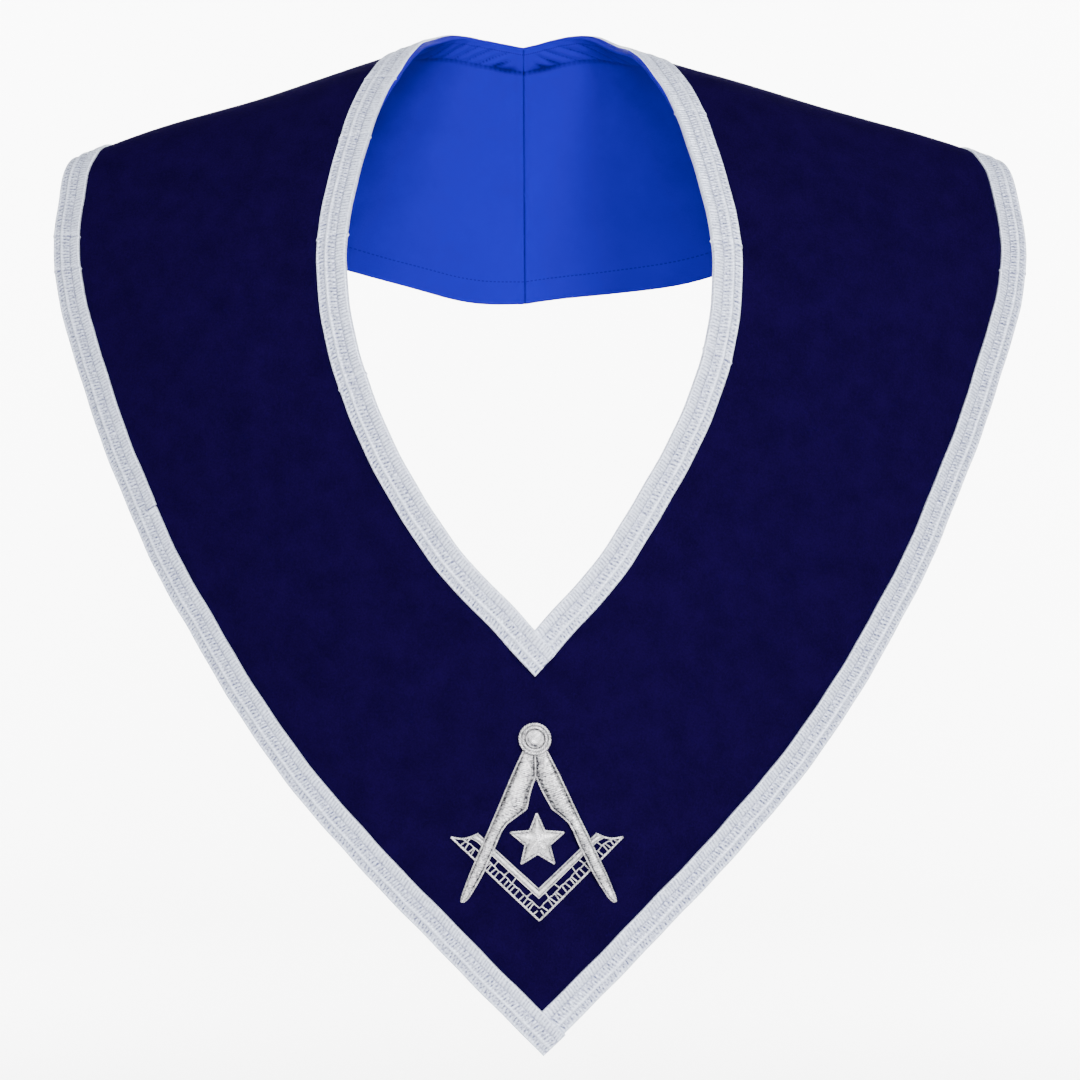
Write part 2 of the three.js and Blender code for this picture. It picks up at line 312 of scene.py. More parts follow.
    def face(self, turn: Array, across: Array, lift: Array | float = 0.0) -> Array:
        """Return points at a lift above the velvet's inner face."""
        turn, across, lift = np.broadcast_arrays(
            np.asarray(turn, float), np.asarray(across, float), np.asarray(lift, float)
        )
        return self.bowed(turn, across) + lift[:, None] * self.normals(self.bowed, turn, across)

    def over_front(self, x: Array, z: Array, lift: Array | float) -> Array:
        """Return points over the centre front, found by Newton's method.

        Args:
            x: Distances from the plane of symmetry.
            z: Heights.
            lift: Lifts above the velvet's inner face.

        Returns:
            The points.
        """
        turn = np.where(x < 0.5 * self.neck_lean, 1.05, 0.95)
        across = np.full_like(x, 0.5)
        for _ in range(self.rounds):
            away = np.where(turn > 1.0, self.step, -self.step)
            here = self.bowed(turn, across)
            by_turn = (self.bowed(turn + away, across) - here) / away[:, None]
            by_across = (self.bowed(turn, across + self.step) - here) / self.step
            determinant = by_turn[:, 0] * by_across[:, 2] - by_across[:, 0] * by_turn[:, 2]
            miss_x, miss_z = x - here[:, 0], z - here[:, 2]
            turn = turn + (miss_x * by_across[:, 2] - miss_z * by_across[:, 0]) / determinant
            across = across + (miss_z * by_turn[:, 0] - miss_x * by_turn[:, 2]) / determinant
        return self.face(turn, across, lift)


@dataclass(frozen=True)
class Layers:
    """The thicknesses of the collar's layers, from the inside out."""

    lining: float = 1.0 * MM
    velvet: float = 1.2 * MM
    braid: float = 1.2 * MM
    gap: float = 0.3 * MM
    braid_width: float = 13 * MM

    @property
    def on_velvet(self) -> float:
        """The lift at which a piece lies on the pile."""
        return self.velvet + 0.1 * self.gap


DRAPE = Drape()
LAYERS = Layers()


# Shader building blocks


class Sockets(Enum):
    """The socket types that the shader groups use."""

    NUMBER = "NodeSocketFloat"
    COLOUR = "NodeSocketColor"


# The sockets of the mix node for its factor and its two colours
MIX_SHARE, MIX_FIRST, MIX_SECOND = 0, 6, 7
MIX_COLOUR = 2


def add_node(tree: Tree, kind: str, **values: object) -> bpy.types.Node:
    """Add a node to a tree and set its properties."""
    node = tree.nodes.new(kind)
    for key, value in values.items():
        setattr(node, key, value)
    return node


def maths(tree: Tree, operation: str, *terms: float | Socket, clamped: bool = False) -> Socket:
    """Add a math node.

    Args:
        tree: The tree that the node goes into.
        operation: The node's operation.
        terms: The node's inputs in order, each a number or a socket to join.
        clamped: Whether the result is held between 0 and 1.

    Returns:
        The node's output.
    """
    node = add_node(tree, "ShaderNodeMath", operation=operation, use_clamp=clamped)
    for socket, term in zip(node.inputs, terms):
        if isinstance(term, float):
            socket.default_value = term
        else:
            tree.links.new(term, socket)
    return node.outputs[0]


def blend(tree: Tree, share: Socket, first: Socket, second: Colour | Socket) -> Socket:
    """Add a node that mixes two colours by a share, and return its output."""
    node = add_node(tree, "ShaderNodeMix", data_type="RGBA")
    tree.links.new(share, node.inputs[MIX_SHARE])
    tree.links.new(first, node.inputs[MIX_FIRST])
    if isinstance(second, tuple):
        node.inputs[MIX_SECOND].default_value = second
    else:
        tree.links.new(second, node.inputs[MIX_SECOND])
    return node.outputs[MIX_COLOUR]


def numbers(*names: str) -> dict[str, Sockets]:
    """Return the names of a group's inputs that are numbers."""
    return dict.fromkeys(names, Sockets.NUMBER)


def new_group(
    name: str, inputs: dict[str, Sockets], output: str, kind: Sockets = Sockets.NUMBER
) -> tuple[Tree, bpy.types.Node, Socket]:
    """Make an empty shader group with its sockets.

    Args:
        name: The group's name.
        inputs: Input names and types.
        output: The name of its output.
        kind: The type of its output.

    Returns:
        The group, the node that gives its inputs and the socket that takes its output.
    """
    tree = bpy.data.node_groups.new(name, "ShaderNodeTree")
    for label, socket in inputs.items():
        tree.interface.new_socket(label, in_out="INPUT", socket_type=socket.value)
    tree.interface.new_socket(output, in_out="OUTPUT", socket_type=kind.value)
    given = add_node(tree, "NodeGroupInput")
    return tree, given, add_node(tree, "NodeGroupOutput").inputs[output]


def own_place(tree: Tree) -> bpy.types.Node:
    """Add the piece's own UV map, which is in metres, split into its axes."""
    place = add_node(tree, "ShaderNodeTexCoord")
    split = add_node(tree, "ShaderNodeSeparateXYZ")
    tree.links.new(place.outputs["UV"], split.inputs["Vector"])
    return split


def mottle_group() -> Tree:
    """Build the group that mixes a coarse and a fine noise, for dye and pile that vary a little.

    Returns:
        A group with the inputs Coarse and Fine, in cells a metre, and Balance, and the output Tone.
    """
    tree, given, tone = new_group("soft_mottle", numbers("Coarse", "Fine", "Balance"), "Tone")
    place = add_node(tree, "ShaderNodeTexCoord")
    mix = add_node(tree, "ShaderNodeMix")
    for key, socket in (("Coarse", 2), ("Fine", 3)):
        noise = add_node(tree, "ShaderNodeTexNoise")
        noise.inputs["Detail"].default_value = 3.0
        tree.links.new(place.outputs["Object"], noise.inputs["Vector"])
        tree.links.new(given.outputs[key], noise.inputs["Scale"])
        tree.links.new(noise.outputs["Fac"], mix.inputs[socket])
    tree.links.new(given.outputs["Balance"], mix.inputs["Factor"])
    tree.links.new(mix.outputs["Result"], tone)
    return tree


def thread_group() -> Tree:
    """Build the group that makes crossing threads on the piece's own UV map.

    Returns:
        A group with the inputs Along and Across, in threads a metre, and the output Height.
    """
    tree, given, height = new_group("crossing_threads", numbers("Along", "Across"), "Height")
    place = own_place(tree)
    waves = []
    for key, axis in (("Along", "X"), ("Across", "Y")):
        threads = maths(tree, "MULTIPLY", place.outputs[axis], given.outputs[key])
        waves.append(maths(tree, "SINE", maths(tree, "MULTIPLY", threads, FULL_TURN)))
    tree.links.new(maths(tree, "MULTIPLY", *waves), height)
    return tree


def hollow_group() -> Tree:
    """Build the group that mixes painted shade into a colour where the piece's hollow attribute says, shifted
    by a tone.

    Returns:
        A group with the inputs Crest and Hollow, which are colours, Tone, and Spread, which is how much the
        tone counts, and the output Colour.
    """
    inputs = {"Crest": Sockets.COLOUR, "Hollow": Sockets.COLOUR, **numbers("Tone", "Spread")}
    tree, given, colour = new_group("hollow_shade", inputs, "Colour", Sockets.COLOUR)
    depth = add_node(tree, "ShaderNodeAttribute", attribute_name="hollow")
    centred = maths(tree, "SUBTRACT", given.outputs["Tone"], 0.5)
    uneven = maths(tree, "MULTIPLY", centred, given.outputs["Spread"])
    share = maths(tree, "ADD", depth.outputs["Fac"], uneven, clamped=True)
    tree.links.new(blend(tree, share, given.outputs["Crest"], given.outputs["Hollow"]), colour)
    return tree


def stitch_group() -> Tree:
    """Build the group that marks a row of stitches on the piece's own UV map.

    Returns:
        A group with the inputs Line, where the row lies across the piece, Pitch and Width, in metres, and the
        output Mark, which is 1 on a stitch.
    """
    tree, given, mark = new_group("stitch_row", numbers("Line", "Pitch", "Width"), "Mark")
    place = own_place(tree)
    on_line = maths(tree, "COMPARE", place.outputs["Y"], given.outputs["Line"], given.outputs["Width"])
    beat = maths(tree, "FRACT", maths(tree, "DIVIDE", place.outputs["X"], given.outputs["Pitch"]))
    on_stitch = maths(tree, "GREATER_THAN", beat, 0.4)
    tree.links.new(maths(tree, "MULTIPLY", on_line, on_stitch), mark)
    return tree


@dataclass
class Groups:
    """The shader groups that several finishes share."""

    mottle: Tree = field(default_factory=mottle_group)
    threads: Tree = field(default_factory=thread_group)
    hollow: Tree = field(default_factory=hollow_group)
    stitches: Tree = field(default_factory=stitch_group)


class Shader:
    """A material under construction, with its Principled shader and short calls to add nodes."""

    def __init__(self, name: str, **values: object) -> None:
        """Make a node material and set the sockets named with underscores for spaces."""
        self.material = bpy.data.materials.new(name)
        self.material.use_nodes = True
        self.tree = self.material.node_tree
        self.principled = self.tree.nodes["Principled BSDF"]
        self.fill(self.principled, values)

    @staticmethod
    def fill(node: bpy.types.Node, values: dict[str, object]) -> None:
        """Set a node's sockets, or join the ones whose value is a socket."""
        for key, value in values.items():
            socket = node.inputs[key.replace("_", " ")]
            if isinstance(value, Socket):
                node.id_data.links.new(value, socket)
            else:
                socket.default_value = value

    def group(self, tree: Tree, output: str, **values: object) -> Socket:
        """Place a shader group with its own values, and return one of its outputs."""
        node = add_node(self.tree, "ShaderNodeGroup", node_tree=tree)
        self.fill(node, values)
        return node.outputs[output]

    def finish(self, colour: Socket, height: Socket, distance: float, strength: float) -> bpy.types.Material:
        """Give the material its colour and its bump, and return it."""
        bump = add_node(self.tree, "ShaderNodeBump")
        self.fill(bump, {"Distance": distance, "Strength": strength, "Height": height})
        self.fill(self.principled, {"Base Color": colour, "Normal": bump.outputs["Normal"]})
        return self.material


# Finishes


@dataclass(frozen=True)
class VelvetFinish:
    """Dark navy cotton velvet, whose pile catches light at its edges."""

    deep: Colour = (0.0017, 0.0, 0.0142, 1.0)
    bright: Colour = (0.0033, 0.0, 0.0255, 1.0)
    sheen: Colour = (0.08, 0.03, 0.40, 1.0)
    tones: Span = (0.36, 0.66)
    pile_a_metre: float = 1300.0
    patches_a_metre: float = 90.0
    pile_share: float = 0.6
    pile_depth: float = 0.4 * MM
    pile_strength: float = 0.7

    def material(self, groups: Groups) -> bpy.types.Material:
        """Return the velvet material."""
        shader = Shader(
            "navy_velvet",
            Roughness=0.95,
            Sheen_Weight=0.06,
            Sheen_Roughness=0.35,
            Sheen_Tint=self.sheen,
            Specular_IOR_Level=0.02,
        )
        cells = {"Coarse": self.patches_a_metre, "Fine": self.pile_a_metre}
        tone = shader.group(groups.mottle, "Tone", Balance=self.pile_share, **cells)
        ramp = add_node(shader.tree, "ShaderNodeValToRGB")
        for stop, place, colour in zip(ramp.color_ramp.elements, self.tones, (self.deep, self.bright)):
            stop.position = place
            stop.color = colour
        shader.fill(ramp, {"Fac": tone})
        return shader.finish(ramp.outputs["Color"], tone, self.pile_depth, self.pile_strength)


@dataclass(frozen=True)
class LiningFinish:
    """Royal blue cotton satin with a close weave."""

    # deep is the colour of the painted shade that the hollow attribute lays on, and the dark end of the
    # weave's tone and of the stitches
    deep: Colour = (0.001, 0.0, 0.075, 1.0)
    bright: Colour = (0.008, 0.0, 0.31, 1.0)
    threads_a_metre: float = 1900.0
    patches_a_metre: float = 55.0
    weave_share: float = 0.4
    unevenness: float = 0.6
    weave_depth: float = 0.06 * MM
    weave_strength: float = 0.5
    stitch_rows: Span = (2.4 * MM, 108 * MM)
    stitch_pitch: float = 1.7 * MM
    stitch_width: float = 0.28 * MM
    stitch_shade: float = 0.55

    def material(self, groups: Groups) -> bpy.types.Material:
        """Return the lining material."""
        shader = Shader("blue_lining", Roughness=0.65, Specular_IOR_Level=0.05)
        cells = {"Coarse": self.patches_a_metre, "Fine": self.threads_a_metre}
        tone = shader.group(groups.mottle, "Tone", Balance=self.weave_share, **cells)
        shades = {"Crest": self.bright, "Hollow": self.deep, "Spread": self.unevenness}
        colour = shader.group(groups.hollow, "Colour", Tone=tone, **shades)
        sizes = {"Pitch": self.stitch_pitch, "Width": self.stitch_width}
        for line in self.stitch_rows:
            mark = shader.group(groups.stitches, "Mark", Line=line, **sizes)
            faint = maths(shader.tree, "MULTIPLY", mark, self.stitch_shade)
            colour = blend(shader.tree, faint, colour, self.deep)
        pitches = {"Along": self.threads_a_metre, "Across": self.threads_a_metre}
        weave = shader.group(groups.threads, "Height", **pitches)
        return shader.finish(colour, weave, self.weave_depth, self.weave_strength)


@dataclass(frozen=True)
class SilverFinish:
    """Silver thread, woven or stitched, with painted shade in its hollow colour where it lies deep."""

    name: str
    crest: Colour
    hollow: Colour
    threads_a_metre: float
    sparkle: float
    metallic: float = 0.3
    roughness: float = 0.45
    clumps_a_metre: float = 420.0
    thread_share: float = 0.65
    thread_depth: float = 0.3 * MM
    thread_strength: float = 0.8

    def material(self, groups: Groups) -> bpy.types.Material:
        """Return the silver thread material."""
        shader = Shader(
            self.name, Roughness=self.roughness, Metallic=self.metallic, Specular_IOR_Level=0.4
        )
        cells = {"Coarse": self.clumps_a_metre, "Fine": self.threads_a_metre}
        tone = shader.group(groups.mottle, "Tone", Balance=self.thread_share, **cells)
        shades = {"Crest": self.crest, "Hollow": self.hollow, "Spread": self.sparkle}
        colour = shader.group(groups.hollow, "Colour", Tone=tone, **shades)
        return shader.finish(colour, tone, self.thread_depth, self.thread_strength)


# Mesh building


@dataclass
class Laid:
    """The vertices of a piece as they are laid on the drape.

    Points are in metres, along and across are distances in metres for the UV map, and hollow, which is
    painted shade, is 0 on a crest and 1 in a groove.
    """

    points: Array
    along: Array
    across: Array
    hollow: Array | float = 0.0


def select_only(*pieces: bpy.types.Object) -> None:
    """Select these pieces alone, with the first one active."""
    bpy.ops.object.select_all(action="DESELECT")
    for piece in pieces:
        piece.select_set(True)
    if pieces:
        bpy.context.view_layer.objects.active = pieces[0]


def shaped_grid(
    name: str, columns: int, rows: int, lay: Callable[[Array, Array], Laid]
) -> bpy.types.Object:
    """Add a grid primitive and lay its vertices.

    Args:
        name: The piece's name.
        columns: Faces along the piece.
        rows: Faces across the piece.
        lay: The function that takes the vertices' shares along and across and says where they lie.

    Returns:
        The piece, smooth shaded, with its place in its mesh.
    """
    select_only()
    bpy.ops.mesh.primitive_grid_add(x_subdivisions=columns, y_subdivisions=rows, size=1.0)
    piece = bpy.context.active_object
    piece.name = name
    mesh = piece.data
    mesh.name = name
    flat = np.empty(3 * len(mesh.vertices))
    mesh.vertices.foreach_get("co", flat)
    flat = flat.reshape(-1, 3)
    laid = lay(flat[:, 0] + 0.5, flat[:, 1] + 0.5)
    mesh.vertices.foreach_set("co", laid.points.astype(np.float32).ravel())
    corner = np.empty(len(mesh.loops), dtype=np.int32)
    mesh.loops.foreach_get("vertex_index", corner)
    uv = np.column_stack((laid.along, laid.across))
    mesh.uv_layers.active.data.foreach_set("uv", uv[corner].astype(np.float32).ravel())
    hollow = np.broadcast_to(np.asarray(laid.hollow, np.float32), (len(flat),))
    mesh.attributes.new("hollow", "FLOAT", "POINT").data.foreach_set("value", hollow.copy())
    mesh.update()
    bpy.ops.object.shade_smooth()
    return piece


def shaped_tube(
    name: str, columns: int, rows: int, lay: Callable[[Array, Array], Laid]
) -> bpy.types.Object:
    """Add a grid that is laid as a tube, join its long edges and fill its ends."""
    piece = shaped_grid(name, columns, rows, lay)
    select_only(piece)
    bpy.ops.object.mode_set(mode="EDIT")
    bpy.ops.mesh.select_all(action="SELECT")
    bpy.ops.mesh.remove_doubles(threshold=1e-6)
    bpy.ops.mesh.select_all(action="DESELECT")
    bpy.ops.mesh.select_mode(type="EDGE")
    bpy.ops.mesh.select_non_manifold(extend=False)
    bpy.ops.mesh.fill_holes(sides=0)
    bpy.ops.mesh.select_all(action="SELECT")
    bpy.ops.mesh.normals_make_consistent(inside=False)
    bpy.ops.object.mode_set(mode="OBJECT")
    return piece


def turn_over(piece: bpy.types.Object) -> None:
    """Flip a sheet's faces, so that it faces the wearer."""
    select_only(piece)
    bpy.ops.object.mode_set(mode="EDIT")
    bpy.ops.mesh.select_all(action="SELECT")
    bpy.ops.mesh.flip_normals()
    bpy.ops.object.mode_set(mode="OBJECT")


def thicken(piece: bpy.types.Object, thickness: float) -> None:
    """Give a laid sheet its wall, on the side that its normals point away from."""
    select_only(piece)
    wall = piece.modifiers.new("wall", "SOLIDIFY")
    wall.thickness = thickness
    wall.offset = -1.0
    bpy.ops.object.modifier_apply(modifier=wall.name)


def join(pieces: Sequence[bpy.types.Object], name: str) -> bpy.types.Object:
    """Join several meshes into one piece."""
    select_only(*pieces)
    bpy.ops.object.join()
    joined = bpy.context.active_object
    joined.name = name
    joined.data.name = name
    return joined


def dress(
    piece: bpy.types.Object, material: bpy.types.Material, slot: str, *nodes: str
) -> bpy.types.Object:
    """Give a piece its material and body, and hide the nodes that it stands for."""
    piece.data.materials.clear()
    piece.data.materials.append(material)
    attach(piece, ROOT)
    if nodes:
        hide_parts(*nodes)
    log.info("%s: %d faces", piece.name, len(piece.data.polygons))
    return piece


# The cloth


@dataclass
class VelvetFace:
    """The outer face, one sheet from the centre-back seam round the front and back to it."""

    columns: int = 380
    rows: int = 46
    seam_gap: float = 0.1 * MM
    pucker: float = 0.22 * MM
    pucker_pitch: float = 0.021
    pucker_reach: float = 0.12
    pucker_start: float = 0.06
    front_crowding: float = 1.25
    inset: float = 0.005
    uv_width: float = 0.13
    cut_area: float = 0.141

    def lay(self, u: Array, v: Array) -> Laid:
        """Lay the velvet's outer face."""
        signed = 2.0 * u - 1.0
        turn = 1.0 + np.sign(signed) * np.abs(signed) ** self.front_crowding
        near_edge = np.exp(-v / self.pucker_reach) + np.exp(-(1.0 - v) / self.pucker_reach)
        near_edge = near_edge * smooth_step(0.0, self.pucker_start, np.minimum(v, 1 - v))
        ripple = wave(turn, self.pucker_pitch, 2.0 * np.sin(31.0 * turn))
        lift = LAYERS.velvet + self.pucker * near_edge * ripple
        points = DRAPE.face(turn, self.inset + (1 - 2 * self.inset) * v, lift)
        points[:, 0] += self.seam_gap * (1.0 - turn)
        return Laid(points, turn * UV_A_TURN, v * self.uv_width)

    def build(self, material: bpy.types.Material) -> bpy.types.Object:
        """Build and dress the velvet."""
        piece = shaped_grid("velvet_sheet", self.columns, self.rows, self.lay)
        thicken(piece, LAYERS.velvet)
        return dress(piece, material, "navy_velvet", "velvet_face")


@dataclass
class Lining:
    """The blue inner face, gathered below the nape, with a centre-back seam and a stitched hem."""

    columns: int = 500
    rows: int = 90
    back_crowding: float = 1.4
    edge_crowding: float = 0.5
    band: float = 118 * MM
    wall_share: float = 0.8
    strip: float = 11 * MM
    strip_height: float = 0.15 * MM
    fold_pitch: float = 7 * MM
    fold_slant: float = 1.8
    fold_height: float = 1.0 * MM
    pinch_places: Span = (-9 * MM, 9.5 * MM)
    pinch_depth: float = 0.7 * MM
    tack_depth: float = 0.55 * MM
    tack_pitch: float = 2.2 * MM
    seam_depth: float = 0.4 * MM
    seam_width: float = 0.32 * MM
    groove_depth: float = 0.6 * MM
    turn_shade: float = 0.6
    neck_inset: float = 3.5 * MM
    hem_inset: float = 1.5 * MM
    hem_overhang: float = 0.4 * MM
    front_reach: Span = (0.62, 0.45)
    back_reach: Span = (0.66, 0.88)
    turn_reach: Span = (0.91, 0.80)
    cut_area: float = 0.137

    def gathers(self, x: Array, depth: Array) -> Array:
        """Return the height of the gathered strip under the nape, with its folds and tack stitches."""
        near_nape = smooth_step(0.062, 0.036, np.abs(x))
        in_strip = smooth_step(1.2 * MM, 3.0 * MM, depth)
        in_strip = in_strip * smooth_step(self.strip, self.strip - 2 * MM, depth)
        place = (np.abs(x) - self.fold_slant * depth) / self.fold_pitch + 0.35 * np.sin(x / (9 * MM))
        folds = self.fold_height * (np.abs(np.sin(np.pi * place)) ** 0.7 - 0.55)
        folds = folds * smooth_step(3 * MM, 9 * MM, np.abs(x))
        pinches = sum(bump_at(x, centre, 6 * MM) for centre in self.pinch_places)
        pinches = pinches * bump_at(depth, self.strip - 1.5 * MM, 2.2 * MM)
        tacks = bump_at(depth, self.strip, 0.7 * MM) * (0.75 + 0.25 * wave(x, self.tack_pitch))
        raised = in_strip * (folds + self.strip_height)
        return near_nape * (raised - self.pinch_depth * pinches - self.tack_depth * tacks)

    def creases(self, x: Array, depth: Array) -> Array:
        """Return the rays, the dent and the soft creases below the gathered strip."""
        fan = (np.abs(x) - 0.5 * (depth - self.strip)) / (5.2 * MM)
        fade = np.exp(-np.abs(depth - self.strip - 4 * MM) / (10 * MM))
        rays = 0.07 * MM * wave(fan, 1.0) * fade * smooth_step(0.055, 0.03, np.abs(x))
        dent = -0.45 * MM * bump_at(x, -11 * MM, 5 * MM) * bump_at(depth, 20 * MM, 6 * MM)
        soft = 0.45 * MM * np.sin(x / (24 * MM) + 0.5) * np.sin(depth / (26 * MM) + 0.7)
        crease = -0.25 * MM * bump_at(depth + 0.35 * x, 40 * MM, 5 * MM)
        crease = crease * smooth_step(-0.05, -0.02, x) * smooth_step(0.0, -0.01, x)
        return (rays + dent + soft + crease) * smooth_step(self.strip, self.strip + 4 * MM, depth)

    def lay(self, u: Array, v: Array) -> Laid:
        """Lay the lining's inner face, with its relief towards the wearer at the back."""
        signed = 2.0 * u - 1.0
        turn = 1.0 + np.sign(signed) * (1.0 - (1.0 - np.abs(signed)) ** self.back_crowding)
        off_front = np.abs(turn - 1.0)
        at_front = smooth_step(*self.front_reach, off_front)
        start = self.neck_inset * at_front / self.band
        end = 1.0 + (self.hem_overhang - (self.hem_inset + self.hem_overhang) * at_front) / self.band
        across = start + (end - start) * (v - self.edge_crowding * wave(v, 1.0) / FULL_TURN)
        flat = DRAPE.face(turn, across, -LAYERS.gap - LAYERS.lining)
        x = flat[:, 0] - DRAPE.shift(turn, across)
        depth = across * self.band
        at_back = smooth_step(*self.back_reach, off_front)
        fine = self.gathers(x, depth) - self.seam_depth * bump_at(x, 0.0, self.seam_width)
        seam_ridge = 0.2 * MM * bump_at(np.abs(x), 2.0 * MM, 1.2 * MM)
        raised = (fine + self.creases(x, depth) + seam_ridge) * at_back
        points = flat - raised[:, None] * DRAPE.normals(DRAPE.bowed, turn, across)
        # The hollow attribute is painted shade: in the gathers' folds, pinches and tacks and the centre-back
        # seam, and on the sides where the lining turns away from the front
        hollow = clamp(-fine * at_back / self.groove_depth)
        hollow = hollow + self.turn_shade * smooth_step(*self.turn_reach, off_front)
        return Laid(points, turn * UV_A_TURN, depth, hollow)

    def build(self, material: bpy.types.Material) -> bpy.types.Object:
        """Build and dress the lining."""
        piece = shaped_grid("lining_sheet", self.columns, self.rows, self.lay)
        turn_over(piece)
        thicken(piece, self.wall_share * LAYERS.lining)
        return dress(piece, material, "blue_lining", "lining")


@dataclass
class RolledEdge:
    """The lining's folded edge, which shows as a thin roll along the back and sides of the neck."""

    columns: int = 460
    rows: int = 12
    reach: float = 0.47
    half_height: float = 1.4 * MM
    thin: float = 0.45 * MM
    thick: float = 0.95 * MM
    rise: float = 0.6 * MM
    sink: float = 0.1 * MM
    ripple: float = 0.1
    ripple_length: float = 0.006
    girth: float = 5 * MM

    def lay(self, u: Array, v: Array) -> Laid:
        """Lay a flattened tube round the neck edge, through the centre back."""
        turn = (2.0 * u - 1.0) * self.reach
        share = np.abs(turn) / self.reach
        taper = smooth_step(1.0, 0.75, share)
        half_width = self.thin + (self.thick - self.thin) * smooth_step(0.15, 0.5, share)
        angle = FULL_TURN * v
        uneven = 1.0 + self.ripple * np.sin(turn / self.ripple_length)
        lift = self.half_height * taper * np.sin(angle) - self.sink
        width = half_width - self.rise + half_width * uneven * taper * np.cos(angle)
        return Laid(DRAPE.face(turn, width / Lining.band, lift), turn * UV_A_TURN, v * self.girth)

    def build(self, material: bpy.types.Material) -> bpy.types.Object:
        """Build and dress the rolled edge."""
        piece = shaped_tube("lining_rolled_edge", self.columns, self.rows, self.lay)
        return dress(piece, material, "blue_lining")


# The braid


class Side(Enum):
    """The wearer's side of the collar."""

    LEFT = "left"
    RIGHT = "right"


class Edge(Enum):
    """The edge of the collar that a length of braid follows."""

    NECK = "neck"
    HEM = "hem"

    @property
    def across(self) -> float:
        """Where the edge lies across the band."""
        return 0.0 if self is Edge.NECK else 1.0

    @property
    def inwards(self) -> float:
        """The sign of a move across the band that leads away from the edge."""
        return 1.0 if self is Edge.NECK else -1.0


@dataclass(frozen=True)
class Band:
    """A lengthwise band of the braid's section.

    Start and end are shares of the width from the cord's side, height is a share of the thickness, slant is
    the lean of its ribs, hollow is its shade and ribs is the share of the ribs' depth.
    """

    start: float
    end: float
    height: float
    slant: float
    hollow: float
    ribs: float


BANDS: tuple[Band, ...] = (
    Band(0.00, 0.07, 0.78, 0.0, 0.00, 0.3),
    Band(0.07, 0.29, 0.52, 0.3, 0.13, 0.7),
    Band(0.29, 0.37, 1.00, 0.4, 0.00, 0.3),
    Band(0.37, 0.62, 0.72, -0.2, 0.09, 0.9),
    Band(0.62, 0.66, 0.35, 0.0, 0.75, 0.2),
    Band(0.66, 0.93, 0.76, 0.15, 0.04, 0.9),
    Band(0.93, 1.00, 0.84, 0.0, 0.00, 0.4),
)

# Where the braid is tucked to turn a curve, as shares of its length
TUCKS: dict[tuple[Edge, Side], tuple[float, ...]] = {
    (Edge.NECK, Side.RIGHT): (0.281, 0.375, 0.504, 0.665),
    (Edge.NECK, Side.LEFT): (0.337, 0.511, 0.636),
    (Edge.HEM, Side.RIGHT): (0.392, 0.416),
    (Edge.HEM, Side.LEFT): (0.420,),
}

# Where the braid on top climbs over the other one, as distances past the edge's point
LAP_RAMPS: dict[Edge, Span] = {
    Edge.NECK: (-4 * MM, 1 * MM),
    Edge.HEM: (-1.2 * LAYERS.braid_width, -0.6 * LAYERS.braid_width),
}

# Rows of specks along the braid: the share of the width, the size as such a share, and the pitch
SPECK_ROWS: Waves = (
    (0.14, 0.035, 2.3 * MM),
    (0.23, 0.035, 1.7 * MM),
    (0.45, 0.030, 1.9 * MM),
    (0.56, 0.030, 2.6 * MM),
)


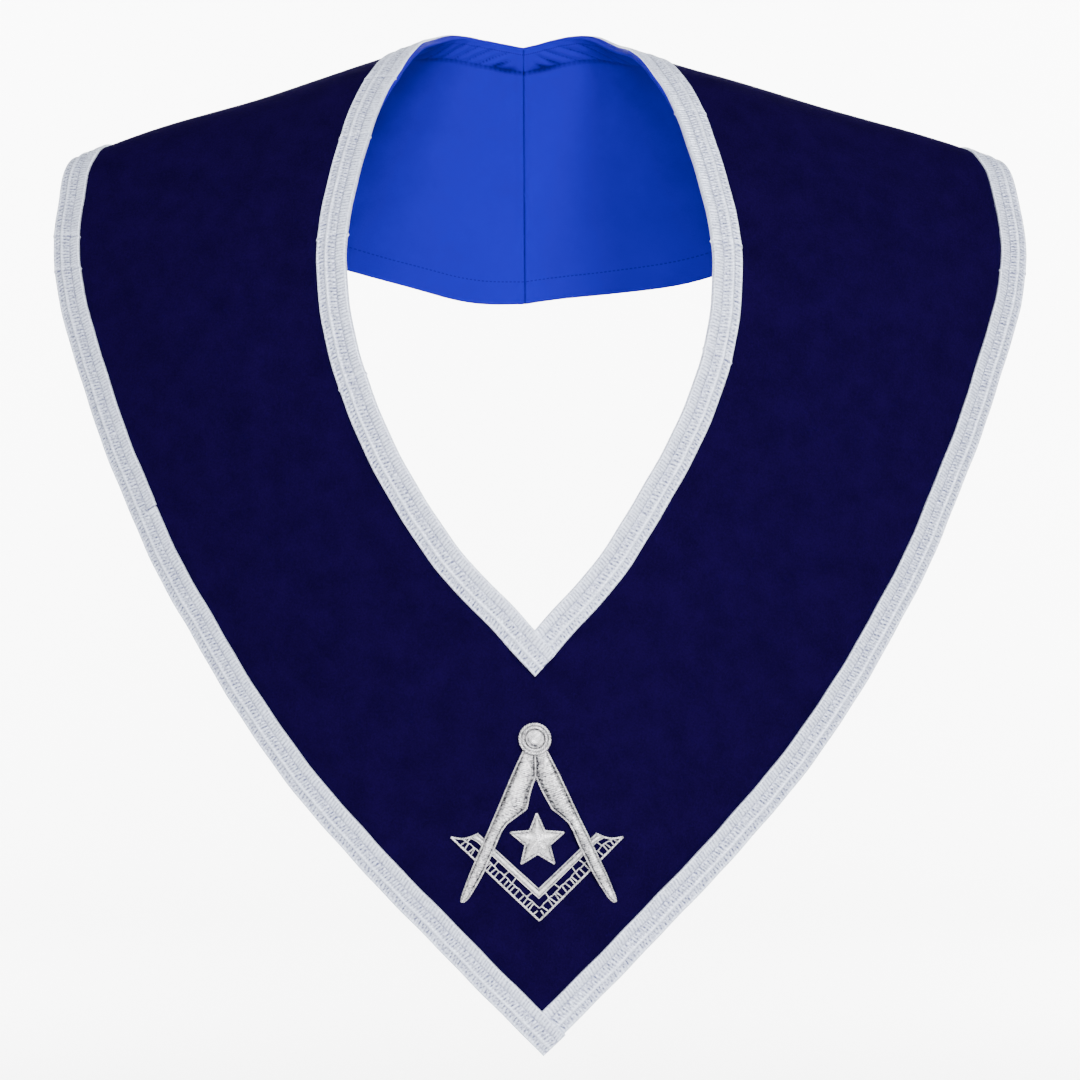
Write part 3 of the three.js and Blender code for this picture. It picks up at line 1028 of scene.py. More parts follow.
@dataclass
class Braid:
    """One length of woven silver braid, from the centre back to the point at the front.

    The lengths on the wearer's right end on top of the others, square to them, as a lapped corner.
    """

    edge: Edge
    side: Side
    rib_pitch: float = 1.42 * MM
    columns_a_rib: int = 6
    upper_rows: int = 27
    wrap: float = 1.3 * MM
    wrap_share: float = 0.035
    samples: int = 1200
    lap: float = 4 * MM
    lap_share: float = 0.8
    rib_depth: float = 0.14
    rib_shade: float = 0.62
    band_blend: float = 0.018
    band_crown: float = 0.10
    side_round: float = 0.035
    rib_drift: Waves = ((0.25 * MM, 3.1 * MM, 0.0), (0.2 * MM, 1.3 * MM, 2.0))
    edge_drift: Waves = ((0.12 * MM, 9 * MM, 0.0), (0.08 * MM, 3.7 * MM, 1.0))
    straight_from: float = 45 * MM
    straighten: Span = (-40 * MM, -8 * MM)
    hand_over: Span = (-42 * MM, -12 * MM)
    splice: float = 0.589
    splice_step: float = 0.5 * MM
    splice_rise: float = 0.4 * MM
    fold_height: float = 0.16 * MM
    notch_depth: float = 0.45 * MM
    speck_depth: float = 0.30
    speck_shade: float = 0.8
    _turns: Array = field(init=False)
    _lengths: Array = field(init=False)

    def __post_init__(self) -> None:
        """Measure the edge."""
        self._turns = np.linspace(0.0, 1.0, self.samples)
        if self.side is Side.RIGHT:
            self._turns = 2.0 - self._turns
        points = DRAPE.face(self._turns, self.edge.across, LAYERS.velvet)
        steps = np.linalg.norm(np.diff(points, axis=0), axis=1)
        self._lengths = np.concatenate(([0.0], np.cumsum(steps)))

    @property
    def length(self) -> float:
        """The length of the edge that the braid follows."""
        return float(self._lengths[-1])

    @property
    def rows(self) -> int:
        """The faces round the braid's section."""
        return self.upper_rows + 4

    def point_geometry(self) -> tuple[Array, Array, Array, float]:
        """Return the edge's point at the centre front.

        Returns:
            The point, the direction in which the edge reaches it, the direction inwards across the braid, all
            seen from the front as (x, z), and the angle between the two halves of the edge.
        """
        ends = DRAPE.face(self._turns[[-12, -1]], self.edge.across, LAYERS.velvet)[:, [0, 2]]
        heading = ends[1] - ends[0]
        heading = heading / np.linalg.norm(heading)
        inwards = np.array([-heading[1], heading[0]])
        if inwards[1] * self.edge.inwards > 0:
            inwards = -inwards
        angle = 2.0 * math.atan2(abs(heading[0]), abs(heading[1]))
        return ends[1], heading, inwards, angle

    def run_out(self, width: Array) -> Array:
        """Return how far past the edge's point the braid runs at each distance from the edge."""
        angle = self.point_geometry()[3]
        beyond = LAYERS.braid_width if self.edge is Edge.NECK else 0.0
        if self.side is Side.RIGHT:
            return (beyond + width * math.cos(angle)) / math.sin(angle)
        return np.full_like(width, self.lap + beyond - LAYERS.braid_width)

    def place(self, distance: Array, width: Array, lift: Array) -> Array:
        """Lay points by their distance along the edge and inwards from it.

        Args:
            distance: Distance from the centre back along the edge.
            width: Distance inwards from the edge.
            lift: Height above the velvet's inner face.

        Returns:
            The points.
        """
        turn = np.interp(distance, self._lengths, self._turns)
        base = np.full_like(turn, self.edge.across)
        step = self.edge.inwards * DRAPE.step
        here = DRAPE.bowed(turn, base)
        by_turn = (DRAPE.bowed(turn + DRAPE.step, base) - here) / DRAPE.step
        by_across = (DRAPE.bowed(turn, base + step) - here) / step
        tangent = unit(by_turn)
        aslant = np.sum(by_across * tangent, axis=1)
        reach = np.linalg.norm(by_across - aslant[:, None] * tangent, axis=1)
        move_across = self.edge.inwards * width / reach
        move_turn = -aslant * move_across / np.linalg.norm(by_turn, axis=1)
        laid = DRAPE.face(turn + move_turn, base + move_across, lift)

        tip, heading, inwards, _ = self.point_geometry()
        nearly = distance > self.length - self.straight_from
        if np.any(nearly):
            past = distance[nearly] - self.length
            curved = DRAPE.face(turn[nearly], base[nearly], LAYERS.velvet)[:, [0, 2]]
            bent = smooth_step(*self.straighten, past)[:, None]
            edge_xz = curved * (1 - bent) + (tip + past[:, None] * heading) * bent
            flat = edge_xz + width[nearly][:, None] * inwards
            front = DRAPE.over_front(flat[:, 0], flat[:, 1], lift[nearly])
            share = smooth_step(*self.hand_over, past)[:, None]
            laid[nearly] = laid[nearly] * (1 - share) + front * share
        return laid

    def section(self, share: Array, distance: Array) -> tuple[Array, Array]:
        """Return the upper face's height and hollow, the painted shade of low bands, rib troughs and specks.

        Args:
            share: Shares of the width from the cord's side.
            distance: Distance along the braid.

        Returns:
            Heights as shares of the thickness, and hollows, which are painted shade.
        """
        height, hollow, weight = np.zeros_like(share), np.zeros_like(share), np.zeros_like(share)
        soft = self.band_blend
        for band in BANDS:
            inside = smooth_step(band.start - soft, band.start + soft, share)
            inside = inside * smooth_step(band.end + soft, band.end - soft, share)
            middle = (share - band.start) / (band.end - band.start)
            crown = self.band_crown * np.sin(np.pi * clamp(middle))
            lean = band.slant * (share - band.start) * LAYERS.braid_width
            rib = wave(distance + lean + ripples(distance, self.rib_drift), self.rib_pitch)
            height += inside * (band.height + crown + self.rib_depth * band.ribs * rib)
            hollow += inside * (band.hollow + self.rib_shade * band.ribs * (0.5 - 0.5 * rib) ** 1.5)
            weight += inside
        height, hollow = height / np.maximum(weight, 1e-3), hollow / np.maximum(weight, 1e-3)
        for line, size, pitch in SPECK_ROWS:
            wobble = ripples(distance, ((0.9, 5.3 * MM, 20 * line), (0.6, 2.1 * MM, 0.0)))
            beat = np.cos(FULL_TURN * distance / pitch + wobble)
            speck = smooth_step(0.35, 0.9, beat) * bump_at(share, line + 0.012 * wobble, size)
            height -= self.speck_depth * speck
            hollow += self.speck_shade * speck
        return height * rounded(share, self.side_round), clamp(hollow)

    def ring(self) -> tuple[Array, Array, Array]:
        """Return the braid's section, row by row round it.

        Returns:
            The share of the width from the garment's edge, whether the row is on the upper face, and the
            level below the pile.
        """
        upper = np.linspace(0.0, 1.0, self.upper_rows)
        from_edge = np.concatenate(([0.0], upper, [0.5, self.wrap_share, self.wrap_share, 0.0]))
        is_upper = np.zeros(len(from_edge), dtype=bool)
        is_upper[1 : 1 + self.upper_rows] = True
        level = np.zeros(len(from_edge))
        level[[0, -2, -1]] = -self.wrap
        return from_edge, is_upper, level

    def tucks(self, distance: Array, width: Array) -> tuple[Array, Array]:
        """Return how much of a tuck's fold and of the notch beside it lies at each place."""
        fold, notch = np.zeros_like(distance), np.zeros_like(distance)
        for share in TUCKS[self.edge, self.side]:
            past = distance - share * self.length - 0.2 * width
            fold += bump_at(past, 0.0, 0.9 * MM)
            notch += bump_at(past, 1.6 * MM, 0.6 * MM)
        return fold, notch

    def spliced(self, share: Array, distance: Array) -> tuple[Array, Array, Array]:
        """Return the join of two lengths in the hem's braid on the wearer's right.

        Args:
            share: Shares of the width from the cord's side.
            distance: Distance along the braid.

        Returns:
            How far the braid steps outwards, how far its upper face rises, and the painted shadow just past
            the step, with a painted highlight beyond it.
        """
        past = distance - self.splice * self.length
        inner = smooth_step(0.55, 0.62, share)
        step = self.splice_step * smooth_step(-0.2 * MM, 0.2 * MM, past) * share
        rise = self.splice_rise * bump_at(past, -1.2 * MM, 1.6 * MM) * inner
        shade = bump_at(past, 0.3 * MM, 0.35 * MM) - 0.8 * bump_at(past, 1.6 * MM, 0.8 * MM)
        return step, rise, shade * inner

    def lay(self, u: Array, v: Array) -> Laid:
        """Lay the braid as a flat tube whose underside turns down over the edge of the cloth."""
        from_edge, upper, level = (column[np.rint(v * self.rows).astype(int)] for column in self.ring())
        share = 1.0 - from_edge if self.edge is Edge.NECK else from_edge
        width = from_edge * LAYERS.braid_width
        distance = u * (self.length + self.run_out(width))
        height, hollow = self.section(share, distance)
        fold, notch = self.tucks(distance, width)
        lift = LAYERS.on_velvet + LAYERS.braid * np.where(upper, height, 0.0) + level
        lift += self.fold_height * fold * np.where(upper, 1.0, 0.4)
        if self.side is Side.RIGHT:
            climb = smooth_step(*LAP_RAMPS[self.edge], distance - self.length)
            lift += self.lap_share * LAYERS.braid * climb
        drift = ripples(distance, self.edge_drift) + self.notch_depth * notch * (2 * from_edge - 1)
        # Painted shade in the notch beside each tuck and a painted highlight along its fold
        hollow = clamp(hollow + 0.2 * notch - 0.25 * fold)
        if self.edge is Edge.HEM and self.side is Side.RIGHT:
            step, rise, shade = self.spliced(share, distance)
            drift -= step
            lift += np.where(upper, rise, 0.0)
            hollow = clamp(hollow + shade)
        return Laid(self.place(distance, width + drift, lift), distance, width, hollow)

    def build(self, material: bpy.types.Material) -> bpy.types.Object:
        """Build and dress the braid."""
        columns = int(self.length / self.rib_pitch * self.columns_a_rib)
        name = f"{self.edge.value}_braid_{self.side.value}"
        piece = shaped_tube(f"{name}_woven", columns, self.rows, self.lay)
        return dress(piece, material, "silver_braid", name)


# The embroidery


@dataclass(frozen=True)
class LegRow:
    """A station of a compass leg, as shares of the emblem's height. Rise carries it over the square."""

    inner_out: float
    inner_down: float
    outer_out: float
    outer_down: float
    rise: float


LEG_ROWS: tuple[LegRow, ...] = (
    LegRow(0.000, 0.165, 0.058, 0.150, 0.0),
    LegRow(0.000, 0.272, 0.112, 0.262, 0.0),
    LegRow(0.033, 0.356, 0.149, 0.345, 0.0),
    LegRow(0.065, 0.440, 0.184, 0.425, 0.0),
    LegRow(0.111, 0.475, 0.208, 0.480, 0.0),
    LegRow(0.154, 0.510, 0.226, 0.520, 0.3),
    LegRow(0.180, 0.553, 0.245, 0.565, 1.0),
    LegRow(0.212, 0.630, 0.274, 0.630, 1.0),
    LegRow(0.275, 0.764, 0.334, 0.764, 1.0),
    LegRow(0.308, 0.820, 0.358, 0.820, 0.3),
    LegRow(0.350, 0.885, 0.382, 0.880, 0.0),
    LegRow(0.368, 0.903, 0.386, 0.898, 0.0),
    LegRow(0.378, 0.908, 0.386, 0.906, 0.0),
)


@dataclass
class Emblem:
    """The padded square and compasses with a star between them.

    Places are shares of the emblem's height: out from the plane of symmetry and down from its top.
    """

    height: float = 81.4 * MM
    top: float = -289.4 * MM
    top_centre: float = -2.1 * MM
    lean: float = 0.0235
    leg_height: float = 2.2 * MM
    square_height: float = 1.4 * MM
    boss_height: float = 3.0 * MM
    star_height: float = 2.2 * MM
    clearance: float = 0.1 * MM
    stitch: float = 0.8 * MM
    stitch_height: float = 0.16 * MM
    hole_pitch: float = 1.5 * MM
    coil_pitch: float = 0.62 * MM
    cord: float = 0.42 * MM
    cord_step: float = 0.28 * MM
    cord_twist: float = 1.1 * MM
    cord_look_ahead: float = 0.4 * MM
    cord_lift: float = 0.4 * MM
    leg_cord_lift: float = 0.35 * MM
    cord_rows: int = 8
    fewest_columns: int = 8
    leg_grid: tuple[int, int] = (420, 18)
    boss_grid: tuple[int, int] = (96, 60)
    bar_grid: tuple[int, int] = (320, 26)
    star_grid: tuple[int, int] = (200, 50)
    boss_radius: float = 0.0800
    boss_down: float = 0.0890
    boss_rings: tuple[Place, Place] = ((0.93, 1.5 * MM, 0.55 * MM), (0.72, 1.9 * MM, 0.5 * MM))
    star_down: float = 0.602
    star_radius: float = 0.137
    star_waist: float = 0.45
    star_sector: float = FULL_TURN / 5
    inner_foot: Span = (0.0, 0.837)
    outer_foot: Span = (0.0, 1.0)
    inner_end: Span = (0.292, 0.565)
    outer_end: Span = (0.430, 0.584)
    end_scoop: float = 0.016
    bar_share: float = 0.34
    bar_reach: float = 0.985
    middle_cord: float = 0.24 * MM
    middle_across: float = 0.62
    knee_skew: float = 0.014
    tick_rows: tuple[tuple[float, float, float, float], ...] = (
        (0.0262, 0.003, 0.040, 0.30 * MM),
        (0.0780, 0.040, 0.080, 0.28 * MM),
    )
    tick_clearance: float = 0.012

    def over(self, out: Array, down: Array, lift: Array | float) -> Array:
        """Return points at shares of the emblem's height, at a lift above the pile."""
        lift = np.broadcast_to(np.asarray(lift, float), out.shape)
        x = self.top_centre + (out + self.lean * down) * self.height
        return DRAPE.over_front(x, self.top - down * self.height, LAYERS.on_velvet + lift)

    @staticmethod
    def on_ring(angle: Array, radius: Array | float, middle: float) -> tuple[Array, Array]:
        """Return places out and down on a ring, at angles from its upper point."""
        return radius * np.sin(angle), middle - radius * np.cos(angle)

    @staticmethod
    def stitch_line(from_side: Array, holes: Array) -> Array:
        """Return the shade of the stitches that hold a pad down, just inside the cord round it."""
        return bump_at(from_side, 0.11, 0.05) * (0.35 + 0.65 * holes)

    def twisted_cord(self, name: str, path: Array, lift: Array | float, radius: float) -> bpy.types.Object:
        """Build a thin twisted cord.

        Args:
            name: The piece's name.
            path: The cord's points as shares out and down.
            lift: The height of the cord's middle above the pile at each point, or everywhere.
            radius: The cord's radius.

        Returns:
            The cord as a closed tube.
        """
        steps = np.linalg.norm(np.diff(path, axis=0), axis=1) * self.height
        lengths = np.concatenate(([0.0], np.cumsum(steps)))
        lifts = np.broadcast_to(np.asarray(lift, float), (len(path),))

        def on_path(distance: Array) -> Array:
            """Return the path's places out and down at distances along it."""
            return np.column_stack([np.interp(distance, lengths, path[:, axis]) for axis in (0, 1)])

        def lay(u: Array, v: Array) -> Laid:
            """Lay the tube round the path."""
            distance = u * lengths[-1]
            heading = on_path(distance + self.cord_look_ahead) - on_path(distance - self.cord_look_ahead)
            heading = heading / np.maximum(np.linalg.norm(heading, axis=1), 1e-9)[:, None]
            angle = FULL_TURN * v
            twist = np.cos(2 * angle - FULL_TURN * distance / self.cord_twist)
            size = radius * (1.0 + 0.16 * twist)
            aside = size * np.cos(angle) / self.height
            out, down = on_path(distance).T
            height = np.interp(distance, lengths, lifts) + size * np.sin(angle)
            points = self.over(out - heading[:, 1] * aside, down + heading[:, 0] * aside, height)
            # Painted shade in the grooves of the twist
            return Laid(points, distance, v * 3 * MM, clamp(0.30 - 0.30 * twist))

        columns = max(self.fewest_columns, int(lengths[-1] / self.cord_step))
        return shaped_tube(name, columns, self.cord_rows, lay)

    def leg_station(self, u: Array, side: float) -> tuple[Array, ...]:
        """Return the inner and outer edges and the rise at shares of the leg's rows, for the side's sign."""
        table = np.array([astuple(row) for row in LEG_ROWS])
        knots = np.concatenate(([0.0], np.cumsum(np.linalg.norm(np.diff(table[:, 2:4], axis=0), axis=1))))
        columns = [np.interp(u, knots / knots[-1], column) for column in table.T]
        columns[0] = columns[0] + side * self.knee_skew * bump_at(columns[1], 0.45, 0.07)
        return tuple(columns)

    def leg_pad(self, side: float, name: str) -> bpy.types.Object:
        """Build one padded leg with its satin stitches."""

        def lay(u: Array, v: Array) -> Laid:
            """Lay the leg as a flat tube: its padded face, then its underside."""
            upper, share = round_tube(v, 0.8)
            inner_out, inner_down, outer_out, outer_down, rise = self.leg_station(u, side)
            breadth = outer_out - inner_out
            down = inner_down + (outer_down - inner_down) * share
            along = (down + 0.35 * share * breadth) * self.height
            satin = wave(along, self.stitch, 0.8 * np.sin(9.0 * share))
            satin *= 0.65 + 0.35 * np.sin(along / (1.7 * MM)) * np.sin(along / (0.61 * MM) + 5.0 * share)
            pad = clamp(1.0 - np.abs(2.0 * share - 1.0) ** 2.6) ** 0.6
            wide = smooth_step(0.02, 0.10, breadth)
            crown = self.leg_height * (0.62 + 0.38 * wide) * smooth_step(-0.04, 0.10, u)
            top = crown * (0.25 * rounded(share, 0.04) + 0.75 * pad) + self.stitch_height * satin * pad
            lift = rise * (self.square_height + self.clearance) + np.where(upper, top, 0.0)
            beat = FULL_TURN * down * self.height / self.hole_pitch
            holes = smooth_step(-0.1, 0.6, np.cos(beat + 1.3 * np.sin(0.37 * beat + 2.0 * side)))
            specks = np.sin(1.3 * beat + 9.0 * share) * np.sin(0.41 * beat + 17.0 * share)
            # Painted shade between the satin stitches and in the stitch holes, and dark specks
            hollow = 0.25 * (1.0 - satin) + self.stitch_line(np.minimum(share, 1.0 - share), holes)
            hollow += 0.6 * smooth_step(0.55, 0.95, specks)
            # Painted shade on the inner side of the wider part of the leg
            hollow += 0.22 * smooth_step(0.75, 0.2, share) * smooth_step(0.05, 0.4, wide)
            points = self.over(side * (inner_out + breadth * share), down, lift)
            return Laid(points, along, share * 8 * MM, clamp(np.where(upper, hollow, 0.5)))

        return shaped_tube(name, *self.leg_grid, lay)

    def compass_leg(self, side: Side, material: bpy.types.Material) -> bpy.types.Object:
        """Build and dress one leg with the cord round it."""
        sign = 1.0 if side is Side.LEFT else -1.0
        name = f"compass_leg_{side.value}"
        shares = np.linspace(0.0, 1.0, 160)
        inner_out, inner_down, outer_out, outer_down, rise = self.leg_station(shares, sign)
        inner = np.column_stack((sign * inner_out, inner_down))
        outer = np.column_stack((sign * outer_out, outer_down))
        lift = rise * (self.square_height + self.clearance) + self.leg_cord_lift
        outline, lifts = np.concatenate((outer, inner[::-1])), np.concatenate((lift, lift[::-1]))
        pad = self.leg_pad(sign, f"{name}_pad")
        cord = self.twisted_cord(f"{name}_cord", outline, lifts, self.cord)
        return dress(join((pad, cord), f"{name}_stitched"), material, "bullion_embroidery", name)

    def boss(self, material: bpy.types.Material) -> bpy.types.Object:
        """Build and dress the boss: a domed disc of coiled bullion inside a corded rim."""

        def lay(u: Array, v: Array) -> Laid:
            """Lay the dome as rings round its middle, then its underside."""
            upper, share = round_tube(v, 0.9)
            angle = FULL_TURN * u
            dome = np.sqrt(clamp(1.0 - (share / 0.60) ** 2))
            groove = bump_at(share, 0.62, 0.05) + 0.8 * bump_at(share, 0.83, 0.04)
            groove = groove * (0.7 + 0.3 * np.sin(angle * 9.0) * np.sin(angle * 4.0 + 1.0))
            # A painted shadow in a crescent on the lower side of the dome
            crescent_shadow = bump_at(share, 0.40, 0.10) * smooth_step(0.0, 0.9, np.cos(angle - 3.8))
            coil = wave(share * self.boss_radius * self.height, self.coil_pitch, angle)
            plateau = 0.55 * smooth_step(1.02, 0.93, share)
            height = self.boss_height * (plateau + 0.45 * dome - 0.22 * groove + 0.022 * coil)
            # Painted shade in the grooves, between the coils and in the crescent shadow
            hollow = clamp(0.8 * groove + 0.35 * (0.5 - 0.5 * coil) ** 2 + 0.6 * crescent_shadow)
            out, down = self.on_ring(angle, self.boss_radius * share, self.boss_down)
            points = self.over(out, down, np.where(upper, height, 0.0))
            return Laid(points, angle * 3 * MM, share * 6 * MM, hollow)

        parts = [shaped_tube("compass_boss_dome", *self.boss_grid, lay)]
        angles = np.linspace(0.0, FULL_TURN, 120)
        for share, lift, size in self.boss_rings:
            path = np.column_stack(self.on_ring(angles, self.boss_radius * share, self.boss_down))
            parts.append(self.twisted_cord("compass_boss_ring", path, lift, size))
        return dress(join(parts, "compass_boss_stitched"), material, "bullion_embroidery", "compass_boss")

    def arm_place(self, side: float, along: Array, across: Array | float) -> tuple[Array, Array]:
        """Return places on an arm of the square, along it from the foot and across from its inner edge."""
        inner = [foot + (end - foot) * along for foot, end in zip(self.inner_foot, self.inner_end)]
        outer = [foot + (end - foot) * along for foot, end in zip(self.outer_foot, self.outer_end)]
        out = inner[0] + (outer[0] - inner[0]) * across
        down = inner[1] + (outer[1] - inner[1]) * across
        scoop = self.end_scoop * np.sin(np.pi * clamp(across)) * smooth_step(0.88, 1.0, along)
        return side * out, down + scoop

    def arm_path(self, across: float, count: int = 120) -> Array:
        """Return a line along both arms at one share across, from end to end through the foot."""
        along = np.linspace(-1.0, 1.0, count)
        out, down = self.arm_place(1.0, np.abs(along), across)
        return np.column_stack((np.sign(along) * out, down))

    def square(self, material: bpy.types.Material) -> bpy.types.Object:
        """Build and dress the square: a padded bar and a graduated strip outlined in cord."""
        parts = [self.square_bar()]
        parts.append(self.twisted_cord("square_outer_cord", self.arm_path(1.0), self.cord, self.cord))
        middle = self.arm_path(self.middle_across, count=160)
        middle[:, 1] += 0.0035 * np.sin(middle[:, 0] * 150.0) * np.sin(middle[:, 0] * 61.0 + 1.0)
        parts.append(self.twisted_cord("square_middle_cord", middle, self.middle_cord, self.middle_cord))
        for side in (-1.0, 1.0):
            path = np.column_stack(self.arm_place(side, np.ones(40), np.linspace(0.0, 1.0, 40)))
            parts.append(self.twisted_cord("square_end_cord", path, self.cord_lift, self.cord))
            parts.extend(self.ticks(side))
        return dress(join(parts, "square_stitched"), material, "bullion_embroidery", "square")

    def square_bar(self) -> bpy.types.Object:
        """Build the bar along both arms: a wide satin row between two thin cords."""

        def lay(u: Array, v: Array) -> Laid:
            """Lay the bar as a flat tube: its three rows, then its underside."""
            upper, share = round_tube(v, 0.85)
            signed = self.bar_reach * (2.0 * u - 1.0)
            out, down = self.arm_place(1.0, np.abs(signed), self.bar_share * share)
            cords = bump_at(share, 0.10, 0.09) + bump_at(share, 0.92, 0.08)
            row = np.sqrt(clamp(1.0 - ((share - 0.51) / 0.29) ** 2))
            length = np.abs(signed) * 0.4 * self.height
            satin = np.sin(FULL_TURN * (length / (0.9 * MM) + 1.5 * share))
            satin = satin * (0.7 + 0.3 * np.sin(length / MM))
            height = self.square_height * (0.12 + 0.55 * cords + 0.88 * row) + 0.05 * MM * satin * row
            # Painted shade in the grooves beside the cords and between the satin stitches
            grooves = bump_at(share, 0.215, 0.065) + 0.85 * bump_at(share, 0.805, 0.055)
            hollow = clamp(0.95 * grooves + 0.15 * (1.0 - satin) * row)
            lift = np.where(upper, height * rounded(share, 0.03), 0.0)
            points = self.over(np.sign(signed) * out, down, lift)
            return Laid(points, length, share * 3 * MM, hollow)

        return shaped_tube("square_bar", *self.bar_grid, lay)

    def ticks(self, side: float) -> list[bpy.types.Object]:
        """Build the graduations of one arm: short ticks in the outer row and long ones in the inner row."""
        made = []
        corners = (self.outer_foot, self.outer_end, self.inner_end)
        foot, end, inner_end = (np.array(corner) for corner in corners)
        length = float(np.linalg.norm(end - foot))
        ahead = (end - foot) / length
        inwards = np.array([ahead[1], -ahead[0]])
        fall = (end[1] - inner_end[1]) / (end[0] - inner_end[0])
        for pitch, near, far, size in self.tick_rows:
            reach = np.linspace(near, far, 9)[:, None]
            for i in range(1, int(length / pitch) + 1):
                distance = (i - 0.4 + 0.22 * math.sin(5.0 * i + side)) * pitch
                leaning = 0.18 * math.sin(3.0 * i + 2.0 * side) * reach * ahead
                places = foot + ahead * distance + reach * inwards + leaning
                arm_top = inner_end[1] + fall * (places[:, 0] - inner_end[0]) + self.tick_clearance
                kept = places[(places[:, 1] > arm_top) & (places[:, 0] > 0.5 * self.tick_clearance)]
                if len(kept) >= 4:
                    made.append(self.twisted_cord("square_tick", kept * np.array([side, 1.0]), size, size))
        return made

    def off_point(self, angle: Array) -> Array:
        """Return the angle from the nearest point of the star."""
        return np.abs(np.mod(angle + self.star_sector / 2, self.star_sector) - self.star_sector / 2)

    def star_rim(self, angle: Array) -> Array:
        """Return the star's radius, as a share of the emblem's height, at angles from its upper point."""
        inside = self.off_point(angle)
        far, near = self.star_radius, self.star_radius * self.star_waist
        half = self.star_sector / 2
        edge = np.array([near * math.cos(half) - far, near * math.sin(half)])
        return far * edge[1] / (edge[1] * np.cos(inside) - edge[0] * np.sin(inside))

    def star(self, material: bpy.types.Material) -> bpy.types.Object:
        """Build and dress the five-pointed star, padded to a ridge along each point."""

        def lay(u: Array, v: Array) -> Laid:
            """Lay the star as rings round its middle, then its underside."""
            upper, share = round_tube(v, 0.9)
            angle = FULL_TURN * u
            rim = self.star_rim(angle)
            inside = self.off_point(angle) / (self.star_sector / 2)
            ridge = 1.0 - 0.45 * inside * share
            body = (1.0 - share**3.0) ** 0.5
            satin = wave(rim * share * np.cos(inside) * self.height, self.stitch)
            height = self.star_height * (0.2 + 0.75 * body * ridge) + 0.06 * MM * satin * body
            holes = smooth_step(-0.2, 0.6, np.cos(FULL_TURN * rim * self.height / self.hole_pitch))
            # Painted shade between the satin stitches and in the stitch holes
            hollow = 0.16 * (1.0 - satin) + self.stitch_line(1.0 - share, holes)
            out, down = self.on_ring(angle, rim * share, self.star_down)
            points = self.over(out, down, np.where(upper, height, 0.0))
            return Laid(points, angle * 3 * MM, share * 10 * MM, clamp(np.where(upper, hollow, 0.5)))

        pad = shaped_tube("centre_star_pad", *self.star_grid, lay)
        angles = np.linspace(0.0, FULL_TURN, 241)
        path = np.column_stack(self.on_ring(angles, self.star_rim(angles) * 1.02, self.star_down))
        cord = self.twisted_cord("centre_star_cord", path, self.cord_lift, self.cord)
        return dress(join((pad, cord), "centre_star_stitched"), material, "bullion_embroidery", "centre_star")


# The studio


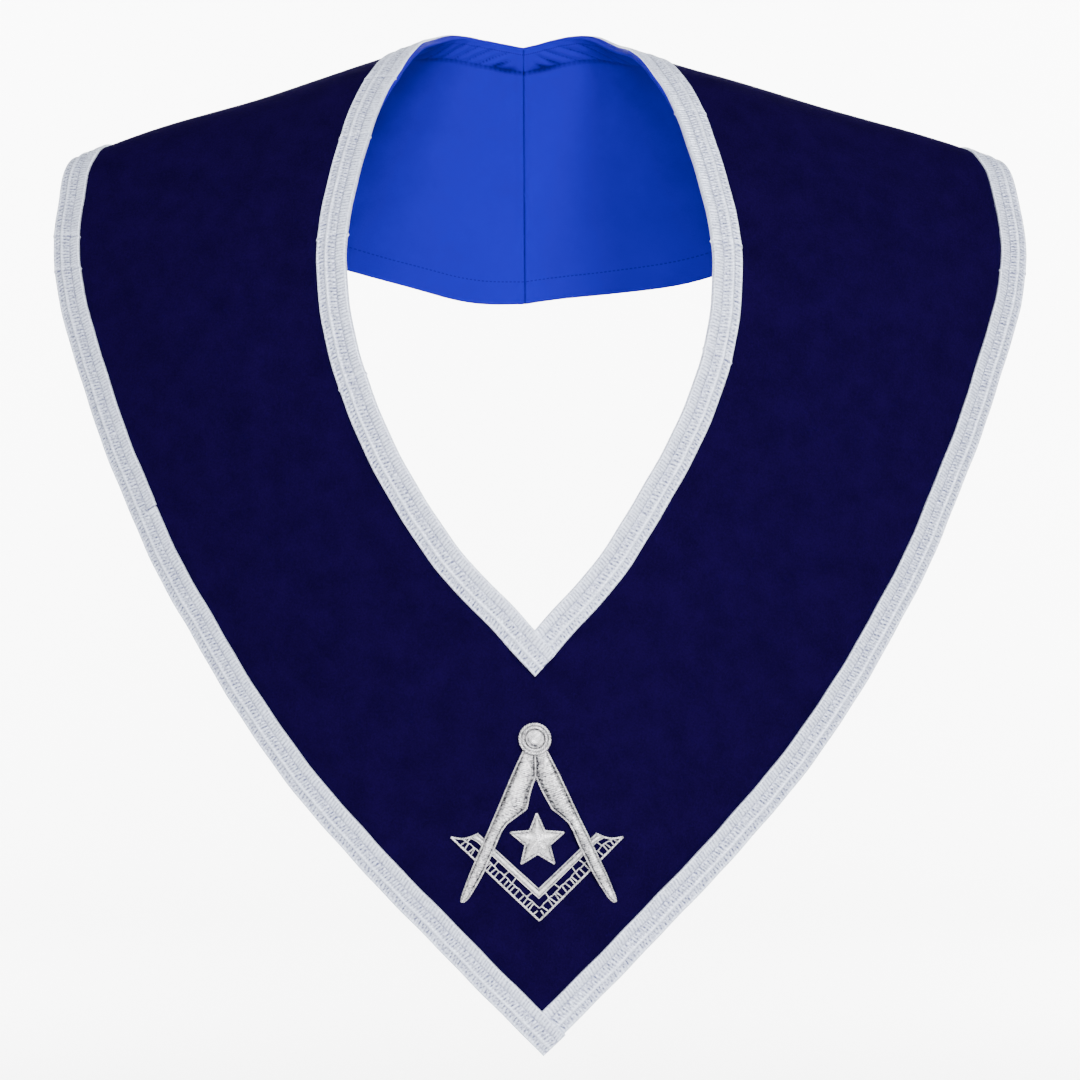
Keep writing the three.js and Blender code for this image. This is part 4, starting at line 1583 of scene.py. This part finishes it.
@dataclass
class Studio:
    """A white sweep, soft light and a camera at the photograph's angle."""

    camera_distance: float = 2.0
    pixel_at_origin: float = 0.435 * MM
    camera_turn: float = math.radians(-1.8)
    aim: Place = (3.8 * MM, 0.0, -215 * MM)
    sensor: float = 36.0
    far_clip: float = 30.0
    floor_height: float = -0.62
    floor_width: float = 16.0
    floor_length: float = 14.0
    wall_depth: float = 3.0
    wall_bend: float = 1.2
    room_light: float = 0.3

    def camera(self) -> None:
        """Place the camera level with the middle of the collar, a little to the wearer's right."""
        seen = self.pixel_at_origin * PHOTO_PIXELS
        turn = self.camera_turn
        place = (
            self.aim[0] + self.camera_distance * math.sin(turn),
            self.aim[1] - self.camera_distance * math.cos(turn),
            self.aim[2],
        )
        bpy.ops.object.camera_add(location=place, rotation=(math.pi / 2, 0.0, turn))
        camera = bpy.context.active_object
        camera.data.sensor_width = self.sensor
        camera.data.lens = self.sensor * self.camera_distance / seen
        camera.data.clip_end = self.far_clip
        bpy.context.scene.camera = camera

    def light(self, name: str, place: Place, target: Place, size: float, power: float) -> None:
        """Add a soft round area light that faces a target."""
        bpy.ops.object.light_add(type="AREA", location=place)
        lamp = bpy.context.active_object
        lamp.name = name
        lamp.data.shape = "DISK"
        lamp.data.size = size
        lamp.data.energy = power
        away = np.array(place) - np.array(target)
        lamp.rotation_euler = (
            math.atan2(math.hypot(away[0], away[1]), away[2]),
            0.0,
            math.atan2(away[0], -away[1]),
        )

    def sweep(self) -> None:
        """Lay a pale floor that curves up into a wall behind the collar."""

        def lay(u: Array, v: Array) -> Laid:
            """Lay the floor, a quarter round and the wall."""
            bend, depth = self.wall_bend, self.wall_depth
            run = (v - 0.5) * self.floor_length
            angle = np.clip((run - depth) / bend, 0.0, math.pi / 2)
            y = np.minimum(run, depth) + bend * np.sin(angle)
            z = bend * (1.0 - np.cos(angle)) + np.maximum(run - depth - bend * math.pi / 2, 0.0)
            return Laid(np.column_stack(((u - 0.5) * self.floor_width, y, self.floor_height + z)), u, v)

        piece = shaped_grid("white_sweep", 8, 80, lay)
        white = (0.92, 0.92, 0.92, 1.0)
        shader = Shader("white_paper", Base_Color=white, Roughness=0.9, Specular_IOR_Level=0.1)
        piece.data.materials.append(shader.material)

    def build(self) -> None:
        """Build the whole studio."""
        self.camera()
        self.sweep()
        self.light("key_light", (0.7, -2.3, 1.2), self.aim, 0.8, 118.0)
        self.light("fill_light", (-0.6, -2.4, 0.1), self.aim, 1.2, 34.0)
        self.light("top_light", (0.2, -0.5, 1.8), self.aim, 1.2, 10.0)
        for side in (-1.0, 1.0):
            self.light("wall_light", (2.3 * side, 1.5, 0.6), (0.6 * side, 4.2, -0.2), 1.6, 700.0)
        world = bpy.data.worlds.new("white_room")
        world.use_nodes = True
        background = world.node_tree.nodes["Background"]
        background.inputs["Color"].default_value = (1.0, 1.0, 1.0, 1.0)
        background.inputs["Strength"].default_value = self.room_light
        bpy.context.scene.world = world


def main() -> None:
    """Build the studio and the collar."""
    logging.basicConfig(level=logging.INFO, format="%(name)s %(message)s")
    Studio().build()
    groups = Groups()
    velvet = VelvetFinish().material(groups)
    lining = LiningFinish().material(groups)
    # Each finish's hollow colour is the painted shade in its grooves and holes
    braid = SilverFinish(
        "silver_braid",
        crest=(0.78, 0.84, 1.0, 1.0),
        hollow=(0.09, 0.10, 0.22, 1.0),
        threads_a_metre=1300.0,
        sparkle=1.9,
    ).material(groups)
    bullion = SilverFinish(
        "silver_bullion",
        crest=(0.74, 0.73, 0.75, 1.0),
        hollow=(0.025, 0.025, 0.035, 1.0),
        threads_a_metre=1100.0,
        sparkle=3.0,
        metallic=0.6,
        roughness=0.36,
    ).material(groups)

    velvet_sheet = VelvetFace().build(velvet)
    lining_sheet = Lining().build(lining)
    rolled_edge = RolledEdge().build(lining)
    trims = [Braid(edge, side).build(braid) for edge in Edge for side in Side]
    emblem = Emblem()
    trims += [emblem.compass_leg(side, bullion) for side in Side]
    trims += [emblem.boss(bullion), emblem.square(bullion), emblem.star(bullion)]


if __name__ == "__main__":
    main()
